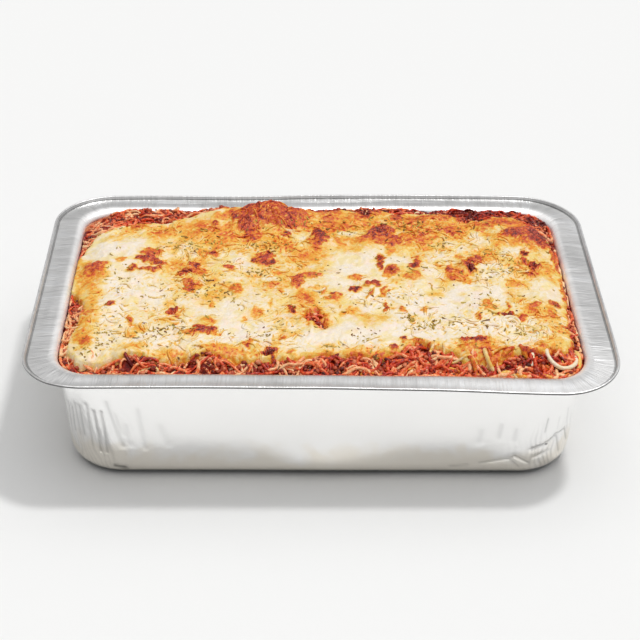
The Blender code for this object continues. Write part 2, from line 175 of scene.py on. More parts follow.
# Patches of the cheese: x, y, half length, half width, turn in degrees, strength.
BROWNED = (
    # the mound at the back, dark to the left and flecked to the right
    (-43, 62, 6, 9, 10, 0.77), (-38, 76, 9, 6, 0, 0.76), (-28, 72, 20, 11, 0, 0.69),
    (-18, 62, 7, 3.5, 0, 0.72), (-40, 50, 5, 5, 0, 0.58), (-50, 74, 7, 6, 0, 0.62),
    (-12, 68, 6, 8, 0, 0.56),
    # blisters across the back
    (0, 50, 4.6, 9.5, 8, 1.0), (-23, 45, 5.5, 4.5, -20, 0.50), (-19, 53, 3.0, 2.6, 0, 0.95),
    (12, 43, 3, 5, 0, 0.50), (24, 44, 8, 3, 0, 0.45), (-3, 40, 4, 4, 0, 0.50),
    (37, 55, 8, 6.5, 30, 1.0), (41, 45, 9, 6, 0, 0.74),
    (42, 34, 2.6, 6, -5, 0.50), (59, 48, 12, 7, 5, 0.55), (30, 48, 5, 3, 0, 0.72),
    (80, 60, 9, 6, 0, 0.55), (66, 55, 8, 5, 0, 0.48), (18, 77, 11, 5, 0, 0.46),
    (29, 80, 3.6, 4, -30, 0.95), (48, 75, 3.4, 5, 0, 0.80), (62, 74, 9, 5, 0, 0.56),
    (75, 76, 8, 4.5, 0, 0.60), (-2, 84, 5, 3.5, 0, 0.80), (8, 82, 7, 4, 0, 0.62),
    (36, 82, 7, 4, 0, 0.60), (102, 66, 9, 5, 0, 0.56), (114, 70, 10, 5, -10, 0.60),
    (13, 62, 4, 5, 0, 0.58), (6, 66, 5, 9, 0, 0.50), (90, 76, 6, 4, 0, 0.7),
    # the right-hand corner at the back
    (126, 54, 13, 7, -8, 0.90), (134, 50, 6, 9, 0, 0.92), (125, 45, 8, 4, 0, 0.56),
    (115, 54, 5, 3, 20, 0.80), (128, 37, 2.8, 5, 0, 0.45), (135, 16, 3, 6, 0, 0.45),
    (140.5, 30, 1.8, 16, 0, 0.74), (141, -8, 1.8, 14, 0, 0.70), (140, -48, 1.8, 16, 0, 0.66),
    # the left-hand side
    (-138, -30, 2.0, 9, 6, 0.50), (-141, -64, 2.0, 12, 0, 0.45),
    (-141, 48, 2.4, 10, 10, 0.60), (-143, 20, 1.8, 16, 0, 0.45),
    (-70, 60, 9, 7, 0, 0.38), (-58, 56, 10, 7, 0, 0.36), (-52, 69, 3, 2.4, 0, 0.85),
    (-62, 83, 10, 4, 0, 0.95),
    (-66, 52, 4, 6, 0, 0.34), (-64, 64, 1.8, 2.0, 0, 0.85),
    (-110, 65, 6, 4.5, 0, 0.52), (-60, 70, 5, 3, 0, 0.5),
    (-100, 30, 6, 4.5, 0, 0.72), (-99, 20, 8.5, 3, -22, 0.95), (-100, 25, 3.4, 3, 0, 0.55),
    (-100, 9, 6.5, 2.6, -8, 0.80), (-117, 21, 3.0, 2.0, 30, 0.60), (-110, 11, 1.8, 3.2, -25, 1.0),
    (-131, 13, 6, 6, 0, 0.74), (-131, 5, 7, 4, 0, 0.50), (-137, 18, 4, 6, 15, 0.52),
    (-73, 14, 3, 4, 0, 0.95), (-78, 6, 5, 3, 20, 0.80), (-70, 5, 4.5, 4, 0, 0.60),
    (-63, 28, 4, 1.8, -30, 0.72), (-75, -8, 3.2, 8, 4, 0.78), (-71, -10, 2.6, 6, 0, 0.45),
    (-53, 12, 4, 2.4, -30, 0.80), (-48, -12, 3.4, 6, 10, 0.60), (-61, -29, 1.6, 3.4, 0, 0.60),
    (-65, -58, 5.6, 5.2, -30, 0.95), (-60, -62, 4, 3, 20, 0.48), (-72, -61, 5, 2.6, 10, 0.55),
    (-119, -30, 1.7, 2.4, -30, 0.85), (-106, -47, 1.3, 3.6, 0, 0.70), (-83, -36, 4, 2, 30, 0.85),
    (-80, -41, 1.2, 3.5, 5, 0.60), (-63, -48, 3.6, 3.4, 0, 0.40), (-82, -51, 2.2, 1.4, 0, 0.45),
    (-105, -63, 3, 2.2, 0, 0.42), (-128, -68, 3.5, 4, 0, 0.55), (-133, -58, 3, 10, 12, 0.30),
    (-133, -35, 2.6, 12, 8, 0.25), (-139, 0, 2.4, 14, 0, 0.30),
    # the middle
    (-33, 22, 5, 7, 0, 0.74), (-30, 27, 3.2, 2, 0, 1.0), (-39, 20, 1.6, 3, -20, 1.0),
    (-27, 20, 2, 1.8, 0, 0.95), (-33, 18, 2, 3, 0, 0.85), (-8, 3, 8, 3, 12, 0.70),
    (-13, -3, 3, 7, -12, 0.74), (-5, 5, 5, 2.4, 0, 0.6), (-9, -18, 2.6, 8, 10, 0.50),
    (-6, -27, 2, 2.6, 0, 0.65), (-28, -7, 5.4, 2.4, 25, 0.55), (-23, -13, 2.4, 4, 0, 0.45),
    (7, -22, 4.2, 3, 0, 0.58), (9, -18, 3.2, 1.8, -30, 0.80), (-1, -9, 4.6, 2, 10, 0.45),
    (2, -14, 1.8, 3, 20, 0.80), (20, -12, 3, 2.6, 0, 0.95), (27, -8, 2.6, 3.4, 0, 1.0),
    (32, -7, 2.6, 3.4, 0, 0.90), (28, -17, 1, 4, -40, 0.80), (36, -13, 1.2, 5, -20, 0.62),
    (38, -15, 1, 4, -35, 0.62), (37, -31, 1.1, 5, -8, 0.85), (46, -35, 1.8, 2.8, 0, 0.66),
    (41, -34, 2, 2, 0, 0.42), (21, 2, 4.4, 2.6, 15, 0.62), (-36, -38, 3, 5, 0, 0.52),
    (-43, -45, 1.4, 3.4, 0, 0.46), (-16, -36, 1.8, 4.6, 20, 0.95), (17, -35, 3.4, 2.6, 30, 0.40),
    (12, -39, 1.6, 2.4, 0, 0.42), (-21, -65, 2, 2, 0, 0.62), (-40, -71, 1.6, 3, 0, 0.66),
    (-28, -78, 3, 3.4, 20, 1.0), (-17, -78, 3.4, 1.2, 20, 0.6), (46, -66, 1.6, 2.4, 0, 0.9),
    (40, -75, 2, 1.5, 0, 0.9),
    # the right-hand side
    (36, 25, 2, 4, 0, 1.0), (35.4, 16, 1.6, 6, 3, 0.95), (42, 10, 3.2, 4.4, 10, 0.90),
    (41, 5, 4, 3, 20, 0.5), (55, 15, 2.8, 3.2, -20, 0.88), (57, 20, 1.8, 3, 15, 0.7),
    (54, 3, 5, 4, 0, 0.60), (57, 26, 1.2, 2.2, 0, 0.7), (83, 26, 3, 3.6, 0, 0.55),
    (92, 22, 4.2, 4.2, -30, 0.78), (88, 14, 2.2, 5, 10, 1.0), (84, 17, 2.2, 3.6, 0, 0.70),
    (78, 8, 5, 7, 0, 0.50), (84, 0, 3.6, 4.6, 0, 0.52), (76, 13, 2.4, 2, 0, 0.8),
    (78, 1, 2.4, 3, 0, 0.7), (122, 30, 2.3, 3.4, 0, 1.0), (121, 21, 1.8, 4.4, 5, 0.78),
    (126, 15, 3, 4.6, 0, 0.92), (124, 7, 2.6, 3, -20, 0.62), (95, -29, 3, 5.6, 5, 0.58),
    (106, -30, 1.3, 3.2, 0, 0.66), (119, -30, 4.2, 2.6, 10, 0.48), (121, -28, 2.6, 1.3, 0, 0.66),
    (112, -43, 3.0, 3.4, 0, 0.66), (104, -37, 2.6, 2.6, 0, 0.52), (105, -41, 5.6, 1.1, -8, 0.95),
    (88, -41, 1.6, 3.6, -10, 0.66), (130, -36, 3, 6.4, 0, 0.50), (120, -36, 2.6, 4, 0, 0.40),
    (58, -34, 1.8, 2.4, 0, 0.58), (135, -49, 3, 1.6, 0, 0.55), (83, -18, 3, 2, 0, 0.2),
    (98, -2, 3, 2, 0, 0.25), (111, -4, 4, 3, 0, 0.42), (133, -26, 2, 3, 30, 0.85),
    # along the front
    (-60, -76, 5, 3, 10, 0.30),
    (-52, -80, 5.6, 3.4, 10, 0.42), (-44, -81, 6, 3, 0, 0.36), (-34, -80, 4, 2.4, 0, 0.36),
    (-62, -80, 3, 1.5, 0, 0.60), (-9, -81, 7, 2.4, 0, 0.38), (2, -80, 6, 2, 0, 0.46),
    (17, -80, 6, 3.0, 0, 0.42), (30, -80, 6, 2.4, 0, 0.42), (40, -79, 4, 3, 0, 0.45),
    (52, -69, 4, 2.6, 0, 0.55), (85, -73, 11, 6.5, 12, 0.52), (84, -67, 8, 2.6, 18, 0.85),
    (90, -80, 6, 4, 0, 0.60), (101, -78, 3, 2, 0, 0.75), (112, -77, 4, 1.6, 10, 0.70),
    (121, -73, 2.4, 2.4, 0, 0.60),
)
GOLDEN = (
    (22, 41, 26, 8, 0, 0.34), (-95, 54, 12, 9, 10, 0.85), (-119, 54, 4, 3, 0, 0.8),
    (-123, 47, 8, 4.4, 0, 0.6),
    (-108, 60, 12, 5, 0, 0.75), (-78, 60, 12, 10, 0, 0.7), (-60, 46, 12, 9, 0, 0.7),
    (-85, 25, 3, 10, 4, 0.75), (-69, 27, 2.6, 9, 4, 0.8), (-84, 12, 6, 5, 0, 0.5),
    (-62, 37, 10, 6, 0, 0.55), (-46, 42, 13, 9, 0, 0.45), (-30, 37, 12, 7, 0, 0.25),
    (-133, 3, 8, 16, 0, 0.75), (-130, -12, 6, 12, 0, 0.7), (-132, -40, 5, 26, 5, 0.5),
    (-131, -66, 6, 8, 0, 0.4), (-124, -87, 8, 5, 0, 0.25), (-103, -75, 8, 4, 0, 0.75),
    (-90, -81, 9, 4, 0, 0.65), (-76, -82, 10, 4, 0, 0.65), (-73, -64, 7, 3, 0, 0.4),
    (-101, -57, 3.4, 4, 10, 0.8),
    (-105, -64, 3.4, 3, 0, 0.7), (-103, -27, 3, 4, 0, 0.45), (-85, -29, 3, 4.2, 0, 0.95),
    (-85, -46, 4.4, 3.4, 0, 0.6), (-62, -20, 5, 9, 0, 0.55), (-52, -14, 6, 8, 0, 0.55),
    (-63, -47, 5, 4, 0, 0.6), (-56, -77, 8, 5, 0, 0.75), (-40, -78, 9, 4, 0, 0.6),
    (-25, -72, 2, 7, 0, 0.7), (-17, -60, 6, 4.4, 0, 0.8), (-21, -57, 5, 2, -30, 0.6),
    (-29, -28, 1.6, 6.4, 3, 0.8), (-38, -38, 5, 6, 0, 0.5), (-40, 5, 6, 4, 0, 0.6),
    (-27, 7, 6, 3, 0, 0.6), (-33, 14, 8, 6, 0, 0.55), (-8, 22, 6, 11, 4, 0.95),
    (-8, 33, 5, 8, 0, 0.8), (-4, 28, 3, 8, 0, 0.7), (-5, 12, 7, 4, 0, 0.7),
    (-18, 38, 7, 5, 0, 0.7), (22, 36, 5, 8, 0, 0.7), (15, 33, 7, 9, 0, 0.45),
    (-9, -22, 6, 10, 0, 0.75), (-20, -4, 7, 6, 0, 0.5), (-30, -8, 8, 5, 0, 0.5),
    (29, -45, 9.5, 7, 0, 1.0), (31, -51, 4, 5, 0, 0.6), (17, -37, 5.4, 5, 0, 0.75),
    (3, -73, 6, 4, 10, 0.55), (-2, -43, 10, 12, 10, 0.6), (33, -67, 2, 4, 0, 0.4),
    (22, -76, 12, 4, 0, 0.5), (38, -78, 9, 4, 0, 0.6), (8, -24, 6, 4, 0, 0.6),
    (60, 40, 14, 6, 0, 0.75), (48, 33, 8, 5, 0, 0.5), (69, 13, 1.8, 6, -12, 0.85),
    (73, 6, 9, 9, 0, 0.65), (86, 10, 8, 12, 0, 0.55), (54, 6, 8, 7, 0, 0.55),
    (100, 28, 8, 7, 0, 0.8), (108, 42, 4, 8, 0, 0.75), (96, 42, 4, 6, 0, 0.3),
    (84, 50, 8, 8, 0, 0.65), (115, 46, 6, 4, 0, 0.7), (126, 42, 9, 6, 0, 0.7),
    (128, 12, 8, 9, 0, 0.6), (136, 10, 4, 10, 0, 0.6), (115, -4, 5, 4.4, 0, 0.9),
    (110, -17, 5, 8, 0, 0.7), (72, -6, 3, 7, 0, 0.75), (66, -16, 6, 5.4, 0, 0.55),
    (95, -31, 5, 7, 0, 0.5), (118, -36, 7, 6, 0, 0.6), (130, -38, 5, 9, 0, 0.6),
    (131, -57, 7, 5, 0, 0.9), (128, -67, 5, 9, 0, 0.75), (84, -40, 4, 3, 0, 0.2),
    (96, -66, 6, 5, 0, 0.55), (74, -73, 5, 7, 0, 0.75), (60, -69, 8, 3, 0, 0.4),
    (104, -76, 9, 4, 0, 0.55), (118, -72, 8, 4, 0, 0.5), (10, 72, 26, 12, 0, 0.65),
    (8, 43, 8, 4, 0, 0.85),
    (28, 43, 10, 4, 0, 0.95), (46, 40, 7, 4, 0, 0.75), (-4, 29, 10, 10, 0, 0.95),
    (58, 68, 30, 10, 0, 0.6), (104, 68, 20, 9, 0, 0.7), (104, 58, 9, 6, 0, 0.35),
    (52, -44, 4, 4, 0, 0.7), (-50, 60, 12, 12, 0, 0.7), (44, -2, 5, 3, 0, 0.5),
)
# Broad golden zones: x, y, radius along x and y, strength.
GOLDEN_ZONES = (
    (-60, 58, 34, 22, 0.18), (-95, 55, 26, 16, 0.10), (-30, 40, 34, 20, 0.09),
    (-80, 15, 26, 30, 0.16), (-136, 5, 12, 30, 0.22), (-134, -50, 9, 34, 0.18),
    (0, 66, 40, 20, 0.25), (60, 68, 50, 16, 0.25), (115, 62, 30, 14, 0.26),
    (-10, 20, 26, 26, 0.14), (-10, -30, 24, 26, 0.16), (0, -80, 120, 7, 0.11),
    (-80, -78, 44, 7, 0.05), (78, 30, 30, 22, 0.14), (126, 20, 20, 36, 0.18),
    (128, -50, 14, 30, 0.10), (-60, -20, 22, 26, 0.13), (60, 6, 40, 20, 0.08),
    (100, -40, 40, 22, 0.04), (-100, -50, 30, 20, 0.08),
)
# Places that stay cream within golden zones.
CREAMY = (
    (-125, 30, 14, 12, 0, 0.95), (-112, 46, 8, 4, 0, 0.6), (-130, -82, 6, 6, 0, 0.6),
    (95, 52, 5, 12, 0, 0.85), (108, 59, 7, 5, 0, 0.8), (-10, 50, 4, 6, 0, 0.9),
    (18, 54, 6, 4.5, 0, 0.80), (75, 25, 10, 7, 0, 0.8), (115, 34, 8, 6, 0, 0.85),
    (66, 8, 8, 6, 0, 0.9), (95, 4, 8, 5, 0, 0.8), (105, 11, 6, 6, 0, 0.8),
    (-105, -16, 16, 18, 0, 0.7), (18, 17, 11, 12, 0, 0.95), (-50, -36, 18, 10, 0, 0.8),
    (95, -48, 22, 8, 0, 0.7), (20, -60, 14, 8, 0, 0.6), (60, -30, 12, 10, 0, 0.8),
    (44, 20, 8, 6, 0, 0.7), (-55, 30, 5, 4, 0, 0.6), (-46, 24, 5, 4, 0, 0.7),
    (82, -14, 10, 8, 0, 0.8), (-95, -66, 20, 4, 0, 0.6), (-40, -56, 14, 6, 0, 0.8),
    (106, -62, 10, 5, 0, 0.6), (50, -20, 8, 6, 0, 0.7), (-62, -70, 12, 3, 0, 0.4),
    (-92, 46, 6, 5, 0, 0.5), (128, -8, 6, 8, 0, 0.6), (60, -62, 10, 5, 0, 0.7),
)
# Places where strands show through the cheese.
BUSY = (
    (-80, 10, 24, 36, 0, 0.8), (-95, -50, 34, 18, 0, 0.9), (-30, 50, 34, 26, 0, 0.9),
    (-30, 10, 24, 24, 0, 0.7), (105, -50, 34, 24, 0, 1.0), (100, 15, 36, 22, 0, 0.9),
    (40, -20, 26, 18, 0, 0.7), (60, 62, 50, 18, 0, 0.9), (-20, -40, 26, 24, 0, 0.7),
    (60, -50, 20, 12, 0, 0.8), (-120, -40, 18, 44, 0, 0.6), (-110, 62, 26, 12, 0, 0.8),
    (-60, -74, 60, 10, 0, 0.8), (60, -74, 70, 8, 0, 0.9), (78, 30, 24, 20, 0, 0.7),
)
# Places where the cheese is open to the sauce.
BARE = (
    (-4, -42, 6.2, 7.4, 8, 1.0), (0, -50, 2.4, 6, 10, 0.95), (36.4, 27, 1.5, 2.6, 0, 0.9),
    (122, 31, 1.8, 2.4, 0, 0.9), (-110, 10.5, 1.2, 2.2, -25, 0.9), (128, -77, 6.5, 3.6, 5, 1.0),
    (-60, 84, 9, 4, 0, 1.0), (88, 12, 1.2, 3.4, 10, 0.9),
    (-16, -36, 1.0, 3.6, 20, 0.8), (-28, -79, 2.2, 2.4, 0, 0.8), (28, -8, 2.0, 2.2, 0, 0.7),
    (20, -12, 1.6, 1.4, 0, 0.7), (-73, 14, 1.4, 2.2, 0, 0.7), (-98, 19, 4, 1.2, -22, 0.7),
    (126, 15, 1.2, 2.6, 0, 0.8), (-38, 20, 1.0, 2.2, -20, 0.8), (29, 80, 1.8, 2.4, -30, 0.9),
    (-29, 27, 2, 1, 0, 0.8), (-83, -37, 1.4, 1.2, 0, 0.8), (105, -41.4, 4.4, 0.7, -8, 0.9),
    (55, 14, 1.6, 1.8, -20, 0.7), (92, 74, 3, 4, -30, 0.9), (-87, 74, 3, 4, 0, 1.0),
    (-134, 62, 2, 6, 25, 0.8), (-70, 79, 4, 1.2, 0, 0.9), (46, -65, 1, 1.4, 0, 0.8),
    (133, -26, 1.2, 2.4, 30, 0.8), (41, 9, 1.2, 2.4, 10, 0.7),
)
# Spots of herbs: x, y, radius along x and y, number of flakes.
HERB_SPOTS = (
    (48, 66, 24, 8, 67), (60, 60, 10, 6, 38), (-76, 36, 16, 12, 64), (-32, 38, 13, 7, 58),
    (-92, 37, 8, 6, 14), (-88, -60, 22, 8, 64), (-118, -64, 10, 8, 32), (-126, -78, 9, 8, 20),
    (-60, -12, 14, 16, 52),
    (-36, 8, 12, 8, 26), (60, -50, 7, 5, 44), (50, -44, 5, 5, 26), (75, -48, 3, 4, 13),
    (110, -56, 12, 8, 29), (104, 30, 9, 7, 32), (113, 20, 7, 7, 17), (74, 42, 9, 8, 23),
    (-30, -62, 14, 10, 32), (6, -72, 5, 4, 13), (22, -66, 8, 8, 14), (-80, -18, 14, 14, 26),
    (14, 58, 14, 10, 32), (116, 8, 8, 4, 17), (90, -28, 10, 14, 20), (-118, 0, 14, 20, 23),
    (96, 8, 14, 8, 20), (-8, 66, 14, 6, 17), (132, -50, 6, 6, 9), (30, -20, 20, 14, 23),
)
LOOSE_HERBS = 380
# How far a herb's middle stands over the food.
HERB_LIFT = 0.22

# Strands that can be told apart, lying on or in the cheese: three places they pass, how far
# they stand over the surface, their radius, and how far they have browned.
LAID_STRANDS = (
    ((122.4, -74.2), (129.0, -83.7), (137.8, -71.7), 2.4, 1.20, 0.07),
    ((138.7, -66.6), (140.6, -74.2), (139.4, -80.5), 1.6, 1.50, 0.30),
    ((114.0, -77.8), (114.5, -80.7), (113.6, -84.1), 2.0, 1.10, 0.10),
    ((116.2, -85.8), (121.2, -90.0), (127.4, -88.0), 1.8, 1.40, 0.54),
    ((88.2, -77.4), (89.4, -83.0), (93.9, -86.5), 1.6, 1.20, 0.26),
    ((95.0, -90.4), (100.6, -87.8), (105.1, -90.9), 1.8, 1.15, 0.26),
    ((102.9, -88.7), (106.3, -90.2), (111.0, -91.0), 1.5, 1.30, 0.42),
    ((65.3, -80.4), (71.4, -82.1), (78.6, -80.9), 1.3, 0.80, 0.30),
    ((65.7, -83.8), (71.1, -85.5), (77.5, -86.0), 1.3, 0.80, 0.42),
    ((67.2, -88.4), (72.2, -87.6), (77.5, -90.0), 1.2, 0.80, 0.50),
    ((66.0, -71.2), (66.4, -75.8), (65.6, -79.9), 0.9, 0.75, 0.28),
    ((94.6, -85.4), (98.8, -80.4), (104.3, -76.2), 1.3, 1.30, 0.56),
    ((91.4, -80.3), (95.5, -77.0), (100.0, -75.0), 1.0, 1.10, 0.48),
    ((116.0, -72.0), (120.2, -69.0), (123.5, -67.3), 0.4, 1.00, 0.40),
    ((117.9, -82.4), (122.8, -82.8), (126.0, -86.9), 1.0, 1.20, 0.68),
    ((128.6, -90.2), (133.4, -87.0), (138.4, -82.3), 1.2, 1.15, 0.64),
    ((93.2, -87.1), (96.6, -89.4), (102.4, -91.2), 0.9, 1.20, 0.52),
    ((63.6, -87.3), (67.0, -89.4), (69.9, -91.0), 1.1, 0.85, 0.42),
    ((79.5, -81.5), (82.3, -84.9), (83.6, -90.0), 1.2, 1.10, 0.60),
    ((107.6, -74.4), (108.9, -78.0), (112.5, -80.1), 0.8, 1.10, 0.58),
    ((101.0, -48.2), (105.8, -42.6), (110.5, -48.4), 0.3, 0.90, 0.10),
    ((103.0, -49.4), (106.6, -46.2), (108.9, -50.8), 0.2, 0.70, 0.16),
    ((111.0, -49.0), (116.6, -51.4), (121.9, -54.3), 0.2, 0.80, 0.20),
    ((42.0, -88.5), (47.0, -85.0), (53.0, -89.5), 1.2, 0.80, 0.40),
    ((54.0, -80.0), (58.5, -76.5), (61.0, -70.5), 1.1, 0.90, 0.34),
    ((56.5, -84.0), (61.0, -79.5), (62.5, -74.0), 1.0, 0.80, 0.44),
    ((20.0, -88.5), (27.0, -87.4), (35.0, -89.5), 1.2, 0.90, 0.56),
    ((-4.8, -11.0), (-1.0, -13.8), (2.6, -9.4), 0.2, 0.70, 0.14),
    ((-98.0, -89.5), (-92.5, -87.0), (-88.0, -89.0), 1.4, 0.90, 0.20),
    ((-60.0, -84.0), (-52.0, -82.0), (-45.0, -85.0), 1.0, 0.85, 0.50),
    ((-143.0, -36.0), (-139.6, -30.0), (-140.5, -22.0), 0.6, 0.80, 0.50),
    ((60.0, 86.0), (63.0, 89.5), (66.0, 85.0), 1.2, 0.90, 0.14),
)

# Heights of the core's rings below the surface, the lowest just over the foil's floor.
BED_RINGS = (63.0, 58.0, 40.0, 20.0, 11.0, 5.0, 1.4)

# The scattered pieces count on from the first seed; the second is the bed's unevenness.
SEED = 20
SURFACE_SEED = 3

# Relief of the strands in the bed: how many, their radius, the field's cell and lowest level.
RELIEF_STRANDS = 1500
RELIEF_RADIUS = 1.1
RELIEF_CELL = 0.4
RELIEF_LOWEST = -1.2

# Stage: the sky's brightness at the horizon and what it gains overhead, which way the large
# soft light and the key light lie, and the camera's aim in metres and degrees.
SKY_LOW = 0.215
SKY_GAIN = 0.44
SOFTBOX = Vector((0.20, 0.02, 0.97)).normalized()
KEY = Vector((0.34, 0.09, 1.0))
KEY_ANGLE = 6
CAMERA_AZIMUTH = -1.159
CAMERA_ELEVATION = 31.383
CAMERA_ROLL = 0.823
CAMERA_DISTANCE = 1.01903
CAMERA_TARGET = Vector((0.00026, 0.0, 0.04872))


# ---------------------------------------------------------------- properties


class TrayMealTray(PropertyGroup):
    foil: FloatProperty(
        name="Foil", description="Thickness of the foil", default=0.00035, unit="LENGTH"
    )
    colour: FloatVectorProperty(
        name="Colour", description="Colour of the foil", subtype="COLOR", size=3,
        default=(0.968, 0.963, 0.953),
    )
    crumple: FloatProperty(
        name="Crumple", description="How strongly the foil is creased", default=1.0,
        subtype="FACTOR",
    )


class TrayMealFood(PropertyGroup):
    strand: FloatProperty(
        name="Spaghetti", description="Thickness of a cooked strand", default=0.0017, unit="LENGTH"
    )
    strands: IntProperty(
        name="Strands", description="Number of strands that show round the edge", default=1000
    )
    sunken: IntProperty(
        name="Sunken strands", description="Number of strands half sunk in the cheese", default=760
    )
    crumbs: IntProperty(
        name="Meat crumbs", description="Number of crumbs of meat that show", default=1500
    )
    cheese: FloatProperty(
        name="Cheese", description="Thickness of the melted cheese", default=0.0036, unit="LENGTH"
    )
    flake: FloatProperty(
        name="Herb flake", description="Length of a usual herb flake", default=0.0016, unit="LENGTH"
    )


class TrayMealStage(PropertyGroup):
    floor: FloatVectorProperty(
        name="Floor", description="Colour of the floor", subtype="COLOR", size=3,
        default=(0.88, 0.88, 0.87),
    )
    key: FloatProperty(name="Key light", description="Strength of the key light", default=1.115)
    softbox: FloatProperty(
        name="Soft box", description="Brightness of the large soft light overhead", default=0.55
    )
    lens: FloatProperty(name="Lens", description="Focal length", default=97.5, unit="CAMERA")


# ---------------------------------------------------------------- sums on the food's plan


def fade(low, high, value):
    """Smooth step from 0 at low to 1 at high."""
    share = np.clip((value - low) / (high - low), 0.0, 1.0)
    return share * share * (3 - 2 * share)


def noise(x, y, size, seed):
    """Smooth noise, about -1 to 1, whose features are about size across."""
    angles = np.random.default_rng(seed).uniform(0, 2 * math.pi, (64, 64))
    u, v = x / size, y / size
    column, row = np.floor(u).astype(int), np.floor(v).astype(int)
    u, v = u - column, v - row

    def corner(right, up):
        angle = angles[(column + right) % 64, (row + up) % 64]
        return np.cos(angle) * (u - right) + np.sin(angle) * (v - up)

    across = u * u * u * (u * (6 * u - 15) + 10)
    along = v * v * v * (v * (6 * v - 15) + 10)
    low = corner(0, 0) * (1 - across) + corner(1, 0) * across
    high = corner(0, 1) * (1 - across) + corner(1, 1) * across
    return 1.5 * (low * (1 - along) + high * along)


def ripple(x, y, size, seed, octaves=3):
    """Noise in several sizes, each half as large and half as strong as the one before."""
    return sum(0.5 ** i * noise(x, y, size * 0.5 ** i, seed + i) for i in range(octaves))


def depth_inside_wall(x, y):
    """Distance of points from the inner wall, positive inside the tray."""
    over_x = np.abs(x) - (HALF_LENGTH - WALL_INSET - WALL_TOP_CORNER)
    over_y = np.abs(y) - (HALF_WIDTH - WALL_INSET - WALL_TOP_CORNER)
    outside = np.hypot(np.maximum(over_x, 0), np.maximum(over_y, 0))
    return WALL_TOP_CORNER - outside - np.minimum(np.maximum(over_x, over_y), 0)


def depth_inside_outline(x, y, outline):
    """Distance of points from a closed outline, positive inside it."""
    nearest = np.full(np.shape(x), 1e9)
    inside = np.zeros(np.shape(x), bool)
    for (x0, y0), (x1, y1) in zip(outline, outline[1:] + outline[:1]):
        run_x, run_y = x1 - x0, y1 - y0
        share = ((x - x0) * run_x + (y - y0) * run_y) / (run_x ** 2 + run_y ** 2)
        share = np.clip(share, 0, 1)
        nearest = np.minimum(nearest, np.hypot(x - x0 - share * run_x, y - y0 - share * run_y))
        if y0 != y1:
            crosses = (y0 > y) != (y1 > y)
            inside ^= crosses & (x < x0 + (y - y0) * run_x / run_y)
    return np.where(inside, nearest, -nearest)


def patch_reaches(x, y, table):
    """For each patch of a table: how far out points are, 1 at its outline, and its own size."""
    warp_x = x + 1.7 * noise(x, y, 7.0, 31) + 1.3 * noise(x, y, 2.8, 32)
    warp_y = y + 1.7 * noise(x, y, 7.0, 33) + 1.3 * noise(x, y, 2.8, 34)
    for centre_x, centre_y, length, width, turn, strength in table:
        cosine, sine = math.cos(math.radians(turn)), math.sin(math.radians(turn))
        u = (warp_x - centre_x) * cosine + (warp_y - centre_y) * sine
        v = (warp_y - centre_y) * cosine - (warp_x - centre_x) * sine
        yield np.hypot(u / length, v / width), math.sqrt(length * width), strength


def patch_share(x, y, table, soft=0.45):
    """How far points lie inside any patch of a table, from 0 to the patch's strength."""
    share = np.zeros(np.shape(x))
    for reach, _, strength in patch_reaches(x, y, table):
        share = np.maximum(share, strength * fade(1 + soft, 1 - soft, reach))
    return share


def patch_heat(x, y, table):
    """How hot points got: each patch's heat fades outwards past its outline, and heats join."""
    total = np.zeros(np.shape(x))
    ragged = 0.60 * noise(x, y, 1.9, 35) + 0.50 * noise(x, y, 4.1, 36)
    for reach, size, strength in patch_reaches(x, y, table):
        strength = strength * 0.94
        beyond = (reach - 1) * size + ragged * min(2.0, 0.35 * size)
        inside = 1 - 0.22 * np.exp(np.minimum(beyond, 0) * 2.8 / size)
        outside = 0.74 * np.exp(-np.maximum(beyond, 0) / (0.42 + 0.17 * size))
        total += (strength * np.where(beyond < 0, inside, outside)) ** 4
    return total ** 0.25


def push_inside(x, y, gap):
    """Moves points that are nearer the wall than gap straight back to it."""
    step = 0.05
    depth = depth_inside_wall(x, y)
    slope_x = (depth_inside_wall(x + step, y) - depth) / step
    slope_y = (depth_inside_wall(x, y + step) - depth) / step
    length = np.maximum(np.hypot(slope_x, slope_y), 1e-6)
    lack = np.maximum(gap - depth, 0)
    return x + slope_x / length * lack, y + slope_y / length * lack


def push_off_wall(x, y, z, gap):
    """Moves points in the tray straight back from the wall, which leans in lower down."""
    low = np.maximum(FOOD_EDGE - z, 0)
    return push_inside(x, y, gap + low * (WALL_SLOPE + 0.06))


def wander(generator, x, y, heading, steps, stride, curl, gap):
    """Paths that wander from their starts and follow the wall where they meet it."""
    places = np.empty((len(x), steps, 2))
    bend = generator.normal(0, curl, len(x))
    for step in range(steps):
        places[:, step] = np.column_stack((x, y))
        bend = 0.88 * bend + generator.normal(0, curl * 0.45, len(x))
        heading = heading + bend * stride
        ahead_x, ahead_y = x + np.cos(heading) * stride, y + np.sin(heading) * stride
        ahead_x, ahead_y = push_inside(ahead_x, ahead_y, gap)
        heading = np.arctan2(ahead_y - y, ahead_x - x)
        x, y = ahead_x, ahead_y
    return places


def arc_through(places, share):
    """Points along the arc from the first of three places through the second to the third."""
    start, middle, end = (complex(*place) for place in places)
    ratio = (middle - start) / (end - start)
    away = (abs(ratio) ** 2 - ratio.real) / (2 * ratio.imag)
    centre = start + (end - start) * complex(0.5, away)
    sweep = np.angle((end - centre) / (start - centre))
    if (sweep > 0) == (ratio.imag > 0):
        sweep -= math.copysign(2 * math.pi, sweep)
    points = centre + (start - centre) * np.exp(1j * sweep * share)
    return points.real, points.imag


def blurred(field, reach):
    """A field softened over reach cells both ways."""
    weights = np.exp(-((np.arange(-3 * reach, 3 * reach + 1) / reach) ** 2))
    weights /= weights.sum()
    for axis in (0, 1):
        field = np.apply_along_axis(np.convolve, axis, field, weights, "same")
    return field


